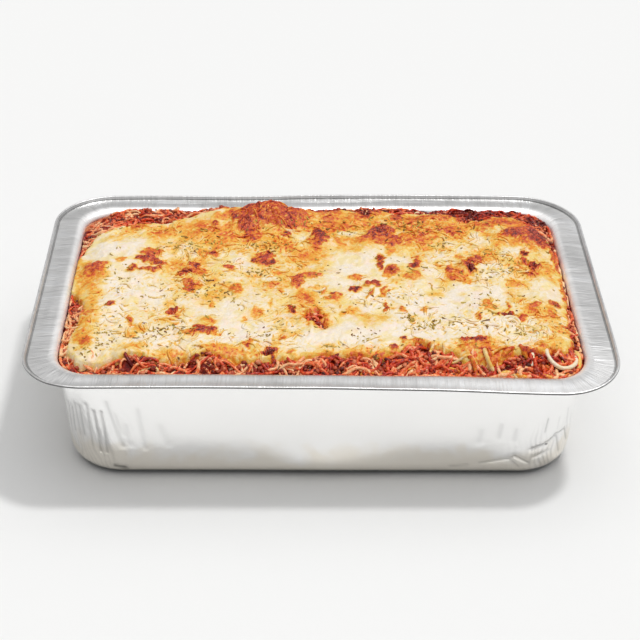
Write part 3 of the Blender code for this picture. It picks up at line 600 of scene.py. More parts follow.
def sampled(field, x, y):
    """The value of a relief field over points."""
    column = (x + HALF_LENGTH) / RELIEF_CELL
    row = (y + HALF_WIDTH) / RELIEF_CELL
    left, low = np.floor(column).astype(int), np.floor(row).astype(int)
    across, along = column - left, row - low
    below = field[low, left] * (1 - across) + field[low, left + 1] * across
    above = field[low + 1, left] * (1 - across) + field[low + 1, left + 1] * across
    return below * (1 - along) + above * along


@lru_cache(maxsize=None)
def strand_reliefs():
    """Relief of the strands that lie in the bed, sharp and as melted cheese softens it."""
    generator = np.random.default_rng(SEED)
    x = generator.uniform(-HALF_LENGTH + 22, HALF_LENGTH - 22, RELIEF_STRANDS)
    y = generator.uniform(-HALF_WIDTH + 22, HALF_WIDTH - 22, RELIEF_STRANDS)
    heading = generator.uniform(0, 2 * math.pi, RELIEF_STRANDS)
    paths = wander(generator, x, y, heading, 64, 0.8, 0.10, 1.0)
    layer = generator.uniform(RELIEF_LOWEST, 0.5, RELIEF_STRANDS)
    rows = int(2 * HALF_WIDTH / RELIEF_CELL) + 2
    columns = int(2 * HALF_LENGTH / RELIEF_CELL) + 2
    field = np.full((rows, columns), RELIEF_LOWEST)
    column = (paths[..., 0] + HALF_LENGTH) / RELIEF_CELL
    row = (paths[..., 1] + HALF_WIDTH) / RELIEF_CELL
    dive = np.sin(np.linspace(0.12, math.pi - 0.12, paths.shape[1])) ** 0.5
    height = (layer[:, None] + 0.9) * dive[None, :] - 0.9
    reach = math.ceil(RELIEF_RADIUS / RELIEF_CELL)
    for over in range(-reach, reach + 1):
        for up in range(-reach, reach + 1):
            near_column = np.round(column).astype(int) + over
            near_row = np.round(row).astype(int) + up
            gap = np.hypot(near_column - column, near_row - row) * RELIEF_CELL
            top = np.sqrt(np.clip(RELIEF_RADIUS ** 2 - gap ** 2, 0, None)) - RELIEF_RADIUS
            stamp = np.where(gap < RELIEF_RADIUS, height + top, -9.0)
            inside = (near_row >= 0) & (near_row < rows)
            inside &= (near_column >= 0) & (near_column < columns)
            np.maximum.at(field, (near_row[inside], near_column[inside]), stamp[inside])
    return blurred(field, 1), blurred(field, 2)


def bed_height(x, y):
    """Height of the spaghetti and sauce over the tray's underside."""
    crown = fade(0.0, 18.0, depth_inside_wall(x, y))
    drop = 3.0 + 2.4 * fade(-55, -85, y)
    height = FLANGE_LEVEL + 1.0 - (drop + 1.0) * (1 - crown)
    for centre_x, centre_y, radius_x, radius_y, rise in MOUNDS:
        reach = ((x - centre_x) / radius_x) ** 2 + ((y - centre_y) / radius_y) ** 2
        height = height + rise * np.exp(-reach)
    return height + (0.3 + 0.7 * crown) * 0.9 * ripple(x, y, 26.0, SURFACE_SEED, 3)


def cheese_cover(x, y):
    """How much melted cheese lies over points, from 0 to 1, and their depth inside its edge."""
    ragged = 1.5 * ripple(x, y, 9.0, 51, 3)
    depth = depth_inside_outline(x, y, CHEESE_OUTLINE) + ragged
    bare = patch_share(x, y, BARE, 0.35)
    return fade(-1.0, 1.8, depth) * (1 - bare), depth


def cheese_heat(x, y):
    """How far the cheese has turned from cream, 0, through gold and orange to dark brown, 1."""
    cover, depth = cheese_cover(x, y)
    gold = sum(
        strength * np.exp(-(((x - centre_x) / length) ** 2 + ((y - centre_y) / width) ** 2))
        for centre_x, centre_y, length, width, strength in GOLDEN_ZONES
    )
    gold = gold * 1.2 + 0.35 * patch_share(x, y, GOLDEN, 0.70)
    gold = gold * (1.05 + 0.70 * ripple(x, y, 11.0, 55, 4)) + 0.05 * ripple(x, y, 18.0, 58, 3)
    gold = gold * (1 - 0.9 * patch_share(x, y, CREAMY, 0.6))
    gold = 0.52 * np.tanh(np.maximum(gold, 0) * 1.10 / 0.52)
    edge = 0.44 * np.exp(-np.maximum(depth, 0) / 3.0) * (1 - patch_share(x, y, CREAMY, 0.5))
    edge = edge * (0.88 + 0.6 * ripple(x, y, 8.0, 59, 2)) * (1 - 0.35 * fade(40, -60, x))
    hot = patch_heat(x, y, BROWNED)
    hollow = patch_share(x, y, BARE, 0.9) * 0.8
    return np.cbrt(gold ** 3 + edge ** 3 + hot ** 3 + hollow ** 3)


def strand_creases(x, y):
    """The thin valleys between strands, from 0 to 1, where the cheese over them is busy."""
    sharp, soft = strand_reliefs()
    return np.clip((sampled(soft, x, y) - sampled(sharp, x, y)) * 7.0 - 0.25, 0, 1)


def cheese_height(x, y, thickness):
    """Height of the cheese's upper face: it dips under the spaghetti where there is none."""
    cover, _ = cheese_cover(x, y)
    browned = fade(0.40, 0.80, cheese_heat(x, y))
    rounded = np.sqrt(np.clip(1 - (1 - cover) ** 2, 0, 1))
    melt = 0.85 * ripple(x, y, 16.0, 61, 4) + 0.17 * noise(x, y, 2.9, 64)
    busy = patch_share(x, y, BUSY, 0.6)
    strands = (0.35 + 0.75 * busy) * sampled(strand_reliefs()[1], x, y)
    blister = browned * (0.95 + 0.50 * noise(x, y, 4.0, 65) + 0.30 * noise(x, y, 1.9, 66))
    return bed_height(x, y) - 1.6 + rounded * (1.9 + thickness + melt + strands + blister)


def food_height(x, y, thickness):
    """Height of whatever lies on top."""
    bed = bed_height(x, y) + sampled(strand_reliefs()[0], x, y)
    return np.maximum(bed, cheese_height(x, y, thickness))


# ---------------------------------------------------------------- meshes


def ring_outline(inset, corner):
    """Points round a rounded rectangle inset from the rim, from the right-hand side on."""
    centre_x, centre_y = HALF_LENGTH - inset - corner, HALF_WIDTH - inset - corner
    points = []
    for quarter, (side_x, side_y) in enumerate(((1, 1), (-1, 1), (-1, -1), (1, -1))):
        for step in range(CORNER_STEPS[quarter] + 1):
            angle = math.pi / 2 * (quarter + step / CORNER_STEPS[quarter])
            x = side_x * centre_x + corner * math.cos(angle)
            y = side_y * centre_y + corner * math.sin(angle)
            points.append((x, y))
        for step in range(1, SIDE_STEPS[quarter]):
            share = step / SIDE_STEPS[quarter]
            if quarter % 2 == 0:
                points.append((side_x * centre_x * (1 - 2 * share), y))
            else:
                points.append((x, side_y * centre_y * (1 - 2 * share)))
    return points


def square_to_plan(u, v, half_length, half_width, corner):
    """Maps the square -1..1 onto a rounded rectangle, corner squares onto quarter discs."""
    x, y = u * half_length, v * half_width
    across = (np.abs(x) - half_length + corner) / corner
    along = (np.abs(y) - half_width + corner) / corner
    in_corner = (across > 0) & (along > 0)
    reach = np.where(in_corner, np.maximum(across, along), 1)
    least = np.where(in_corner, np.minimum(across, along), 0)
    turn = math.pi / 4 * least / reach
    turn = np.where(along > across, math.pi / 2 - turn, turn)
    round_x = half_length - corner + corner * reach * np.cos(turn)
    round_y = half_width - corner + corner * reach * np.sin(turn)
    x = np.where(in_corner, np.copysign(round_x, x), x)
    y = np.where(in_corner, np.copysign(round_y, y), y)
    return x, y


def plan_positions(verts):
    """The vertices' places as arrays of x, y and z in millimetres."""
    places = np.array([vertex.co[:] for vertex in verts]) / MM
    return places[:, 0], places[:, 1], places[:, 2]


def move_to(verts, x, y, z):
    """Puts the vertices at places given in millimetres."""
    for vertex, place in zip(verts, np.column_stack((x, y, z)) * MM):
        vertex.co = place


def lay_out(verts, places):
    """Puts the vertices of many copies at places given copy by copy in millimetres."""
    move_to(verts, *places.reshape(-1, 3).T)


def dive(share, depth):
    """How far a strand's height drops along it: by depth at its ends and by 0 half way."""
    return -depth * (1 - np.sin(math.pi * share) ** 0.4)


def add_piece(name, builder, material, node, values=None):
    """Makes the finished object of a bmesh, which rides on the body and replaces its CAD node."""
    mesh = bpy.data.meshes.new(name)
    builder.to_mesh(mesh)
    builder.free()
    for key, numbers in (values or {}).items():
        layer = mesh.attributes.new(key, "FLOAT", "POINT")
        layer.data.foreach_set("value", np.asarray(numbers, np.float32))
    mesh.materials.append(material)
    mesh.shade_smooth()
    piece = bpy.data.objects.new(name, mesh)
    bpy.context.scene.collection.objects.link(piece)
    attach(piece, "root")
    if node:
        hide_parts(node)
    return piece


def boundary(builder):
    """The edges with a face on one side only."""
    return [edge for edge in builder.edges if edge.is_boundary]


def extrude_boundary(builder):
    """Extrudes the open edge in place and returns each old vertex's new one."""
    edges = boundary(builder)
    old = {vertex for edge in edges for vertex in edge.verts}
    made = bmesh.ops.extrude_edge_only(builder, edges=edges)["geom"]
    new = {item for item in made if isinstance(item, bmesh.types.BMVert)} - old
    twins = {}
    for vertex in new:
        for edge in vertex.link_edges:
            other = edge.other_vert(vertex)
            if other in old:
                twins[other] = vertex
    return twins


def repeated(template, count):
    """A bmesh of many copies of a template, and the template's own places."""
    places = np.array([vertex.co[:] for vertex in template.verts])
    mesh = bpy.data.meshes.new("template")
    template.to_mesh(mesh)
    template.free()
    builder = bmesh.new()
    for _ in range(count):
        builder.from_mesh(mesh)
    bpy.data.meshes.remove(mesh)
    return builder, places


def strand_template(steps, sides):
    """A closed straight strand: its height counts the steps along it."""
    template = bmesh.new()
    bmesh.ops.create_circle(template, cap_ends=True, segments=sides, radius=1.0)
    for _ in range(steps - 1):
        for vertex in extrude_boundary(template).values():
            vertex.co.z += 1.0
    bmesh.ops.contextual_create(template, geom=boundary(template))
    bmesh.ops.recalc_face_normals(template, faces=template.faces)
    return template


def lay_strands(paths, radii, sides):
    """A bmesh of strands along paths, in millimetres, and each vertex's strand and step."""
    count, steps = paths.shape[:2]
    builder, template = repeated(strand_template(steps, sides), count)
    step = np.round(template[:, 2]).astype(int)
    along = np.gradient(paths, axis=1)
    along /= np.maximum(np.linalg.norm(along, axis=2, keepdims=True), 1e-9)
    side = np.cross(np.array((0.0, 0.0, 1.0)), along)
    side /= np.maximum(np.linalg.norm(side, axis=2, keepdims=True), 1e-9)
    over = np.cross(along, side)
    round_x, round_y = template[None, :, 0:1], template[None, :, 1:2]
    thick = radii[:, step, None]
    places = paths[:, step] + thick * (side[:, step] * round_x + over[:, step] * round_y)
    lay_out(builder.verts, places)
    return builder, np.repeat(np.arange(count), len(step)), np.tile(step, count)


def turned(places, generator, count, lean):
    """Random turns: any way round, and leaning up to lean from flat."""
    spin = generator.uniform(0, 2 * math.pi, count)
    tilt = generator.uniform(0, lean, count)
    tilt_way = generator.uniform(0, 2 * math.pi, count)
    axis = np.column_stack((np.cos(tilt_way), np.sin(tilt_way), np.zeros(count)))
    x = places[:, 0] * np.cos(spin)[:, None] - places[:, 1] * np.sin(spin)[:, None]
    y = places[:, 0] * np.sin(spin)[:, None] + places[:, 1] * np.cos(spin)[:, None]
    flat = np.stack((x, y, np.broadcast_to(places[:, 2], x.shape)), axis=2)
    cosine, sine = np.cos(tilt)[:, None, None], np.sin(tilt)[:, None, None]
    axis = axis[:, None, :]
    share = (flat * axis).sum(axis=2, keepdims=True) * (1 - cosine)
    return flat * cosine + np.cross(np.broadcast_to(axis, flat.shape), flat) * sine + axis * share


# ---------------------------------------------------------------- materials


class Wire:
    """A node's socket that takes part in sums: each operator adds its Math node."""

    def __init__(self, paint, socket):
        self.paint = paint
        self.socket = socket

    def join(self, operation, first, second):
        return self.paint.node("ShaderNodeMath", {"operation": operation}, {0: first, 1: second})

    def __add__(self, other):
        return self.join("ADD", self, other)

    def __radd__(self, other):
        return self.join("ADD", other, self)

    def __sub__(self, other):
        return self.join("SUBTRACT", self, other)

    def __rsub__(self, other):
        return self.join("SUBTRACT", other, self)

    def __mul__(self, other):
        return self.join("MULTIPLY", self, other)

    def __rmul__(self, other):
        return self.join("MULTIPLY", other, self)


class Graph:
    """A node tree under construction; place is what its patterns are laid out on."""

    def __init__(self, tree, place):
        self.tree = tree
        self.place = self.node("ShaderNodeTexCoord", {}, {}, place)

    def node(self, kind, settings, sockets, output=0):
        """Adds a node: its settings first, then the values or links of its sockets."""
        node = self.tree.nodes.new(kind)
        for key, value in settings.items():
            if key == "stops":
                self.set_stops(node.color_ramp, value)
            else:
                setattr(node, key, value)
        for key, value in sockets.items():
            if isinstance(value, Wire):
                self.tree.links.new(value.socket, node.inputs[key])
            else:
                node.inputs[key].default_value = value
        return Wire(self, node.outputs[output])

    @staticmethod
    def set_stops(ramp, stops):
        while len(ramp.elements) < len(stops):
            ramp.elements.new(1.0)
        for element, (position, colour) in zip(ramp.elements, stops):
            element.position = position
            element.color = (*colour, 1.0)

    def attribute(self, name):
        return self.node("ShaderNodeAttribute", {"attribute_name": name}, {}, "Fac")

    def part(self, vector, axis):
        """One part of a vector: 0 for X, 1 for Y and 2 for Z."""
        return self.node("ShaderNodeSeparateXYZ", {}, {0: vector}, axis)

    def colour(self, red, green, blue):
        return self.node("ShaderNodeCombineColor", {}, {0: red, 1: green, 2: blue}, 0)

    def grain(self, size, detail, place=None, distortion=0.0):
        """Noise from 0 to 1 with features of a size in metres."""
        sockets = {
            "Vector": place or self.place, "Scale": 1 / size, "Detail": detail,
            "Distortion": distortion,
        }
        return self.node("ShaderNodeTexNoise", {"noise_dimensions": "3D"}, sockets, 0)

    def cells(self, size):
        """Distance from the nearest of many scattered points a size apart, in sizes."""
        sockets = {"Vector": self.place, "Scale": 1 / size}
        return self.node("ShaderNodeTexVoronoi", {"feature": "F1"}, sockets, "Distance")

    def stretched(self, place, scale):
        settings = {"operation": "MULTIPLY"}
        return self.node("ShaderNodeVectorMath", settings, {0: place, 1: scale}, 0)

    def rise(self, value, low, high):
        """Smooth step from 0 at low to 1 at high."""
        sockets = {"Value": value, "From Min": low, "From Max": high}
        return self.node("ShaderNodeMapRange", {"interpolation_type": "SMOOTHSTEP"}, sockets, 0)

    def ramp(self, value, stops):
        return self.node("ShaderNodeValToRGB", {"stops": stops}, {"Fac": value}, 0)

    def mix(self, share, first, second, way="MIX"):
        """The first colour and a share of the second, blended in the given way."""
        def solid(colour):
            return colour if isinstance(colour, Wire) else (*colour, 1.0)

        settings = {"data_type": "RGBA", "blend_type": way, "clamp_factor": True}
        return self.node(
            "ShaderNodeMix", settings, {0: share, 6: solid(first), 7: solid(second)}, 2
        )

    def bump(self, height, distance, strength):
        sockets = {"Height": height, "Distance": distance, "Strength": strength}
        return self.node("ShaderNodeBump", {}, sockets, 0)


class Paint(Graph):
    """A material under construction."""

    def __init__(self, name, **constants):
        self.material = bpy.data.materials.new(name)
        self.material.use_nodes = True
        super().__init__(self.material.node_tree, "Object")
        self.shader = self.tree.nodes["Principled BSDF"]
        for socket, value in constants.items():
            self.shader.inputs[socket.replace("_", " ")].default_value = value

    def set(self, socket, value):
        self.tree.links.new(value.socket, self.shader.inputs[socket])


def tint(red, green, blue):
    """A colour given from 0 to 255 as the eye sees it, as linear light."""
    return tuple(
        part / 12.92 if part <= 0.04045 else ((part + 0.055) / 1.055) ** 2.4
        for part in (red / 255, green / 255, blue / 255)
    )


def foil_material(colour, shoulder, groove, bead):
    """Thin pressed aluminium: a bright wall, a streaked flange and rolled edges darkened with
    painted shade.

    The bend from the flange to the short walls is less metallic: a pale painted highlight.

    The last three are places up the section, in metres, where those parts begin.
    """
    paint = Paint("foil", Metallic=1.0)
    section = paint.node("ShaderNodeUVMap", {"uv_map": "section"}, {}, 0)
    up = paint.part(section, 1)
    across, back, height = (paint.part(paint.place, axis) for axis in range(3))
    on_rim = paint.rise(up, shoulder - 0.002, shoulder + 0.004)
    streaks = paint.grain(1.0, 3.0, paint.stretched(section, (1100.0, 70.0, 0.0)))
    wide_streaks = paint.grain(1.0, 2.0, paint.stretched(section, (170.0, 34.0, 0.0)))
    crinkle = paint.grain(0.007, 4.0, distortion=0.6)
    smudge_and_reflection = paint.grain(0.030, 4.0)
    # Painted shade: a dark line along the groove behind the bead.
    crease = paint.rise(up, groove + 0.0002, groove + 0.0006)
    crease = crease * (1 - paint.rise(up, groove + 0.0016, groove + 0.0020))
    # Painted shade under the rolled bead.
    under_bead_shade = paint.rise(up, bead + 0.0013, bead + 0.0018)
    # Painted shade: the foil darkens towards the floor, standing in for the contact shadow.
    foot = 1 - paint.rise(height, 0.0012, 0.0062)
    # Painted shade along the tight folds and creases of the foil.
    fold = paint.attribute("fold")
    # Painted shade: the outer part of the back flange is darker.
    back_flange_shade = paint.rise(back, 0.080, 0.104) * paint.rise(up, groove - 0.0012, groove + 0.0002)
    # All the painted shade together, which darkens the foil's colour.
    painted_shade = 1 - fold * 0.60 - crease * 0.50 - under_bead_shade * 0.80 - foot * 0.97 - back_flange_shade * 0.30
    # On the rim the wide streaks and the smudges make lighter and darker bands: painted reflection,
    # beside the fine grain of the pressed foil.
    shade = 0.99 + ((streaks - 0.5) * 0.26 + (wide_streaks - 0.5) * 0.42) * on_rim
    shade = (shade + (smudge_and_reflection - 0.5) * (0.05 + on_rim * 0.38)) * painted_shade
    grey = paint.colour(shade, shade, shade)
    # Painted shade: the lower wall turns a darker warm grey under a cloudy edge, standing in for
    # the shadowed floor it reflects.
    cloud = paint.grain(0.022, 4.0, distortion=0.5)
    low_wall_shade = 1 - paint.rise(height + (cloud - 0.5) * 0.050, 0.010, 0.026)
    low_wall_shade_colour = tuple(part * share for part, share in zip(colour, (0.93, 0.89, 0.82)))
    tinted = paint.mix(low_wall_shade, colour, low_wall_shade_colour)
    paint.set("Base Color", paint.mix(1.0, grey, tinted, "MULTIPLY"))
    # Painted highlight: the bend on the short sides is made less metallic so it reads pale.
    lip_highlight = paint.rise(up, shoulder + 0.0005, shoulder + 0.0025)
    lip_highlight = lip_highlight * (1 - paint.rise(up, shoulder + 0.0050, shoulder + 0.0085))
    lip_highlight = lip_highlight * paint.rise(across * across, 0.0150, 0.0185)
    paint.set("Metallic", 1 - lip_highlight * 0.6)
    paint.set("Roughness", 0.13 + on_rim * 0.13 + streaks * 0.10 + smudge_and_reflection * 0.06)
    relief = on_rim * (streaks * 0.7 + wide_streaks * 0.8) + crinkle * 0.22
    paint.set("Normal", paint.bump(relief, 0.0010, 0.40))
    return paint.material


def sauce_material():
    """Sauced spaghetti seen between strands: red-brown and wet, its darkest tones painted shade."""
    paint = Paint("sauce", Roughness=0.42, Specular_IOR_Level=0.3)
    broad = paint.grain(0.012, 3.0)
    fine = paint.grain(0.0022, 3.0)
    specks = paint.grain(0.0009, 2.0)
    tone = broad * 0.45 + fine * 0.45 + specks * 0.1
    # The darkest stops are painted shade for the gaps where the sauce shows.
    stops = (
        (0.32, tint(70, 4, 2)), (0.47, tint(124, 18, 6)),
        (0.60, tint(186, 56, 22)), (0.75, tint(230, 108, 50)),
    )
    paint.set("Base Color", paint.ramp(tone, stops))
    paint.set("Roughness", 0.30 + fine * 0.25)
    paint.set("Normal", paint.bump(fine * 0.7 + specks * 0.3, 0.0006, 0.6))
    return paint.material


def strand_material():
    """Cooked spaghetti coated in meat sauce: each strand has its own tone."""
    paint = Paint("sauced_spaghetti", Roughness=0.35, Specular_IOR_Level=0.4)
    tone = paint.attribute("tone")
    broad = paint.grain(0.006, 3.0)
    fine = paint.grain(0.0014, 3.0)
    value = tone + (broad - 0.5) * 0.80 + (fine - 0.5) * 0.90
    stops = (
        (0.02, tint(98, 10, 4)), (0.20, tint(156, 32, 14)), (0.40, tint(216, 64, 26)),
        (0.56, tint(243, 112, 56)), (0.74, tint(248, 172, 118)), (0.96, tint(255, 214, 162)),
    )
    paint.set("Base Color", paint.ramp(value, stops))
    paint.set("Roughness", 0.20 + fine * 0.22)
    paint.set("Normal", paint.bump(fine + paint.grain(0.0007, 2.0) * 0.5, 0.0004, 0.5))
    return paint.material


def crumb_material():
    """Crumbs of cooked meat in sauce."""
    paint = Paint("meat", Roughness=0.5)
    tone = paint.attribute("tone")
    fine = paint.grain(0.0012, 3.0)
    value = tone + (fine - 0.5) * 0.7
    stops = (
        (0.05, tint(78, 14, 6)), (0.30, tint(140, 40, 20)), (0.55, tint(190, 78, 44)),
        (0.75, tint(222, 126, 84)), (0.95, tint(242, 178, 136)),
    )
    paint.set("Base Color", paint.ramp(value, stops))
    paint.set("Roughness", 0.38 + fine * 0.25)
    paint.set("Normal", paint.bump(fine, 0.0005, 0.7))
    return paint.material


def cheese_material():
    """Melted cheese, from cream through gold and orange to dark brown where it got hottest."""
    paint = Paint("melted_cheese", Roughness=0.45)
    heat = paint.attribute("toasting")
    # Painted shade: the cheese turns browner in the thin valleys between strands and round the
    # sunken strands' sides.
    crease = paint.attribute("crease")
    middle = paint.grain(0.0046, 3.0, distortion=0.8)
    fine = paint.grain(0.0017, 3.0, distortion=0.5)
    specks = paint.grain(0.0008, 2.0)
    threads = paint.grain(0.0026, 2.0, distortion=1.6)
    off_middle = paint.node("ShaderNodeMath", {"operation": "ABSOLUTE"}, {0: threads - 0.5}, 0)
    lines = paint.rise(1 - off_middle * 11.0, 0.30, 0.95)
    uneven = (middle - 0.5) * 1.15 + (fine - 0.5) * 1.15 + (specks - 0.5) * 0.50 + lines * 0.14
    uneven = uneven * (0.62 + 0.38 * paint.rise(heat, 0.30, 0.60))
    value = heat * (0.88 + uneven) + crease * (0.06 + fine * 0.62)
    value = value + (fine - 0.5) * 0.16 + (middle - 0.5) * 0.12
    stops = (
        (0.00, tint(246, 234, 218)), (0.09, tint(244, 226, 188)), (0.20, tint(242, 207, 129)),
        (0.33, tint(239, 181, 62)), (0.46, tint(234, 142, 28)), (0.58, tint(220, 98, 22)),
        (0.71, tint(200, 64, 22)), (0.84, tint(158, 38, 16)), (1.00, tint(92, 14, 4)),
    )
    base = paint.ramp(value, stops)
    mild = 1 - paint.rise(value, 0.16, 0.42)
    lemon = paint.rise(paint.grain(0.008, 3.0, distortion=0.6), 0.50, 0.64) * mild
    base = paint.mix(lemon * 0.50, base, tint(242, 214, 112))
    # Painted highlight: pinkish-white patches over the paler cheese.
    pale_highlight = paint.rise(paint.grain(0.0055, 3.0, distortion=0.6), 0.52, 0.64) * mild
    base = paint.mix(pale_highlight * 0.40, base, tint(250, 220, 206))
    dots = paint.rise(paint.cells(0.0011), 0.18, 0.42)
    toasted = paint.rise(heat, 0.52, 0.76)
    # Painted highlight: a pink sheen in flecks over the browned cheese, stronger in patches.
    sheen_share = paint.rise(paint.grain(0.022, 2.0), 0.42, 0.58)
    base = paint.mix(toasted * (1 - dots) * (0.14 + sheen_share * 0.34), base, tint(244, 154, 136))
    olive = paint.rise(paint.grain(0.0062, 3.0, distortion=1.0), 0.50, 0.64)
    olive = olive * paint.rise(heat, 0.12, 0.40) * 0.35
    base = paint.mix(olive, base, (0.92, 1.05, 0.84), "MULTIPLY")
    ruddy = paint.rise(paint.grain(0.0044, 3.0, distortion=1.0), 0.48, 0.62)
    ruddy = ruddy * paint.rise(heat, 0.22, 0.50) * 0.6
    base = paint.mix(ruddy, base, (1.06, 0.84, 0.86), "MULTIPLY")
    paint.set("Base Color", base)
    paint.set("Roughness", 0.28 + fine * 0.26)
    rough = 0.45 + paint.rise(heat, 0.25, 0.70) * 0.8
    relief = middle * 0.9 + (fine * 0.9 + specks * 0.4) * rough - dots * toasted * 0.3
    paint.set("Normal", paint.bump(relief, 0.0010, 0.70))
    return paint.material


def herb_material():
    """Dried green herbs, from olive to nearly black."""
    paint = Paint("herbs", Roughness=0.6)
    tone = paint.attribute("tone")
    fine = paint.grain(0.0008, 2.0)
    stops = (
        (0.05, tint(124, 66, 18)), (0.30, tint(166, 132, 40)), (0.60, tint(196, 168, 66)),
        (0.95, tint(226, 184, 92)),
    )
    paint.set("Base Color", paint.ramp(tone + (fine - 0.5) * 0.3, stops))
    paint.set("Normal", paint.bump(fine, 0.0003, 0.5))
    return paint.material


def floor_material(colour):
    """A matt pale board."""
    paint = Paint("floor", Roughness=0.9, Specular_IOR_Level=0.1)
    grain = paint.grain(0.25, 3.0)
    low = tuple(part * 0.992 for part in colour)
    paint.set("Base Color", paint.mix(grain, low, tuple(colour)))
    return paint.material


# ---------------------------------------------------------------- the tray


def tray_profile():
    """(inset, height, corner radius) from the floor up to the end of the rolled bead.

    Also the numbers of the stations where its shoulder, groove and bead begin.
    """
    stations, marks = [], []
    middle_height = FLOOR_FILLET + FLOOR_LEVEL
    middle_inset = WALL_INSET + (FLANGE_LEVEL - middle_height) * WALL_SLOPE + FLOOR_FILLET
    lean = math.atan(WALL_SLOPE)
    stations.append((middle_inset + 12, middle_height - FLOOR_FILLET, WALL_BOTTOM_CORNER - 18))
    for step in range(FILLET_STEPS + 1):
        angle = (math.pi / 2 - lean) * step / FILLET_STEPS
        stations.append((
            middle_inset - FLOOR_FILLET * math.sin(angle),
            middle_height - FLOOR_FILLET * math.cos(angle),
            WALL_BOTTOM_CORNER - FLOOR_FILLET + FLOOR_FILLET * math.sin(angle),
        ))
    foot, low, _ = stations[-1]
    high = FLANGE_LEVEL - SHOULDER_RADIUS
    for step in range(1, WALL_STEPS + 1):
        share = step / WALL_STEPS
        stations.append((
            foot + (WALL_INSET - foot) * share,
            low + (high - low) * share,
            WALL_BOTTOM_CORNER + (WALL_TOP_CORNER - WALL_BOTTOM_CORNER) * share,
        ))
    marks.append(len(stations) - 1)
    flange_corner = RIM_CORNER - FLANGE_INSET
    for step in range(1, SHOULDER_STEPS + 1):
        angle = math.pi / 2 * step / SHOULDER_STEPS
        stations.append((
            FLANGE_INSET + SHOULDER_RADIUS * math.cos(angle),
            high + SHOULDER_RADIUS * math.sin(angle),
            WALL_TOP_CORNER + (flange_corner - WALL_TOP_CORNER) * step / SHOULDER_STEPS,
        ))
    for inset, drop in FLANGE_SECTION:
        stations.append((inset, FLANGE_LEVEL - drop, RIM_CORNER - inset))
    marks.append(len(stations) - 5)
    first, last = math.radians(150), math.radians(-175)
    marks.append(len(stations))
    for step in range(BEAD_STEPS + 1):
        angle = first + (last - first) * step / BEAD_STEPS
        inset = BEAD_RADIUS * (1 - math.cos(angle))
        stations.append((inset, RIM_TOP - BEAD_RADIUS * (1 - math.sin(angle)), RIM_CORNER - inset))
    return stations, marks


def front_run(x, y, z):
    """How far round the wall points are from the middle of the front, negative to the left."""
    share = np.clip((FLANGE_LEVEL - SHOULDER_RADIUS - z) / CORNER_RUN, 0, 1)
    corner = WALL_TOP_CORNER + (WALL_BOTTOM_CORNER - WALL_TOP_CORNER) * share
    inset = WALL_INSET + (FLANGE_LEVEL - z) * WALL_SLOPE
    centre_x, centre_y = HALF_LENGTH - inset - corner, HALF_WIDTH - inset - corner
    turn = np.arctan2(np.maximum(np.abs(x) - centre_x, 0), np.maximum(-y - centre_y, 1e-6))
    return np.copysign(np.minimum(np.abs(x), centre_x) + corner * turn, x)


def crumpled(x, y, z, run):
    """How far the foil stands out of true, outwards and up, and the painted shade of its folds."""
    wall = fade(2.0, 10.0, z) * fade(FLANGE_LEVEL - 4.0, FLANGE_LEVEL - 14.0, z)
    lower = fade(FLANGE_LEVEL - 8.0, 14.0, z)
    out = wall * 0.14 * ripple(run, z * 0.7, 46.0, 71, 2)
    corner_x = HALF_LENGTH - WALL_INSET - WALL_TOP_CORNER
    corner_y = HALF_WIDTH - WALL_INSET - WALL_TOP_CORNER
    away = np.maximum(corner_x - np.abs(x), 0) + np.maximum(corner_y - np.abs(y), 0)
    near_corner = np.exp(-((away / PLEAT_REACH) ** 2) * 2.2)
    phase = run / PLEAT_PITCH + 0.9 * noise(run, z, 12.0, 75) + z * 0.05
    pleat = 1 - 2 * np.abs(np.sin(math.pi * phase))
    strength = np.clip(0.5 + 0.9 * noise(run, z * 0.35, 9.0, 76), 0, 1)
    out = out + wall * lower * near_corner * 0.12 * pleat * strength
    out = out + wall * lower * near_corner * 0.26 * ripple(run, z * 0.22, 9.0, 78, 3)
    along = front_run(x, y, z)
    front = fade(-40, -60, y)
    # Painted shade in the valleys of the pleats and along the wall's creases.
    fold = 0.45 * np.clip(near_corner * strength * -pleat, 0, 1) * wall * lower ** 2
    low = fade(0.5, 5.0, z) * fade(FLANGE_LEVEL - 4.0, FLANGE_LEVEL - 14.0, z)
    for run_0, z_0, run_1, z_1, width, depth in WALL_CREASES:
        across, up = run_1 - run_0, z_1 - z_0
        share = ((along - run_0) * across + (z - z_0) * up) / (across ** 2 + up ** 2)
        share = np.clip(share, 0, 1)
        gap = np.hypot(along - run_0 - share * across, z - z_0 - share * up)
        out = out - front * low * depth * np.exp(-((gap / width) ** 2))
        fold = np.maximum(fold, front * depth * np.exp(-((gap / width * 1.3) ** 2)))
    for centre_run, centre_z, length, height, rise in WALL_BULGES:
        reach = ((along - centre_run) / length) ** 2 + ((z - centre_z) / height) ** 2
        out = out + front * wall * rise * np.exp(-reach)
    rim = fade(FLANGE_LEVEL - 7.0, FLANGE_LEVEL - 1.0, z)
    lift = rim * 0.25 * noise(run, run * 0, 55.0, 77)
    for centre_x, centre_y, length, width, rise in RIM_LIFTS:
        reach = ((x - centre_x) / length) ** 2 + ((y - centre_y) / width) ** 2
        lift = lift + rim * rise * np.exp(-reach ** 2)
    for centre_x, centre_y, length, width, depth in RIM_DENTS:
        reach = ((x - centre_x) / length) ** 2 + ((y - centre_y) / width) ** 2
        lift = lift - rim * depth * np.exp(-reach ** 2)
    return out, lift, np.clip(fold, 0, 1)


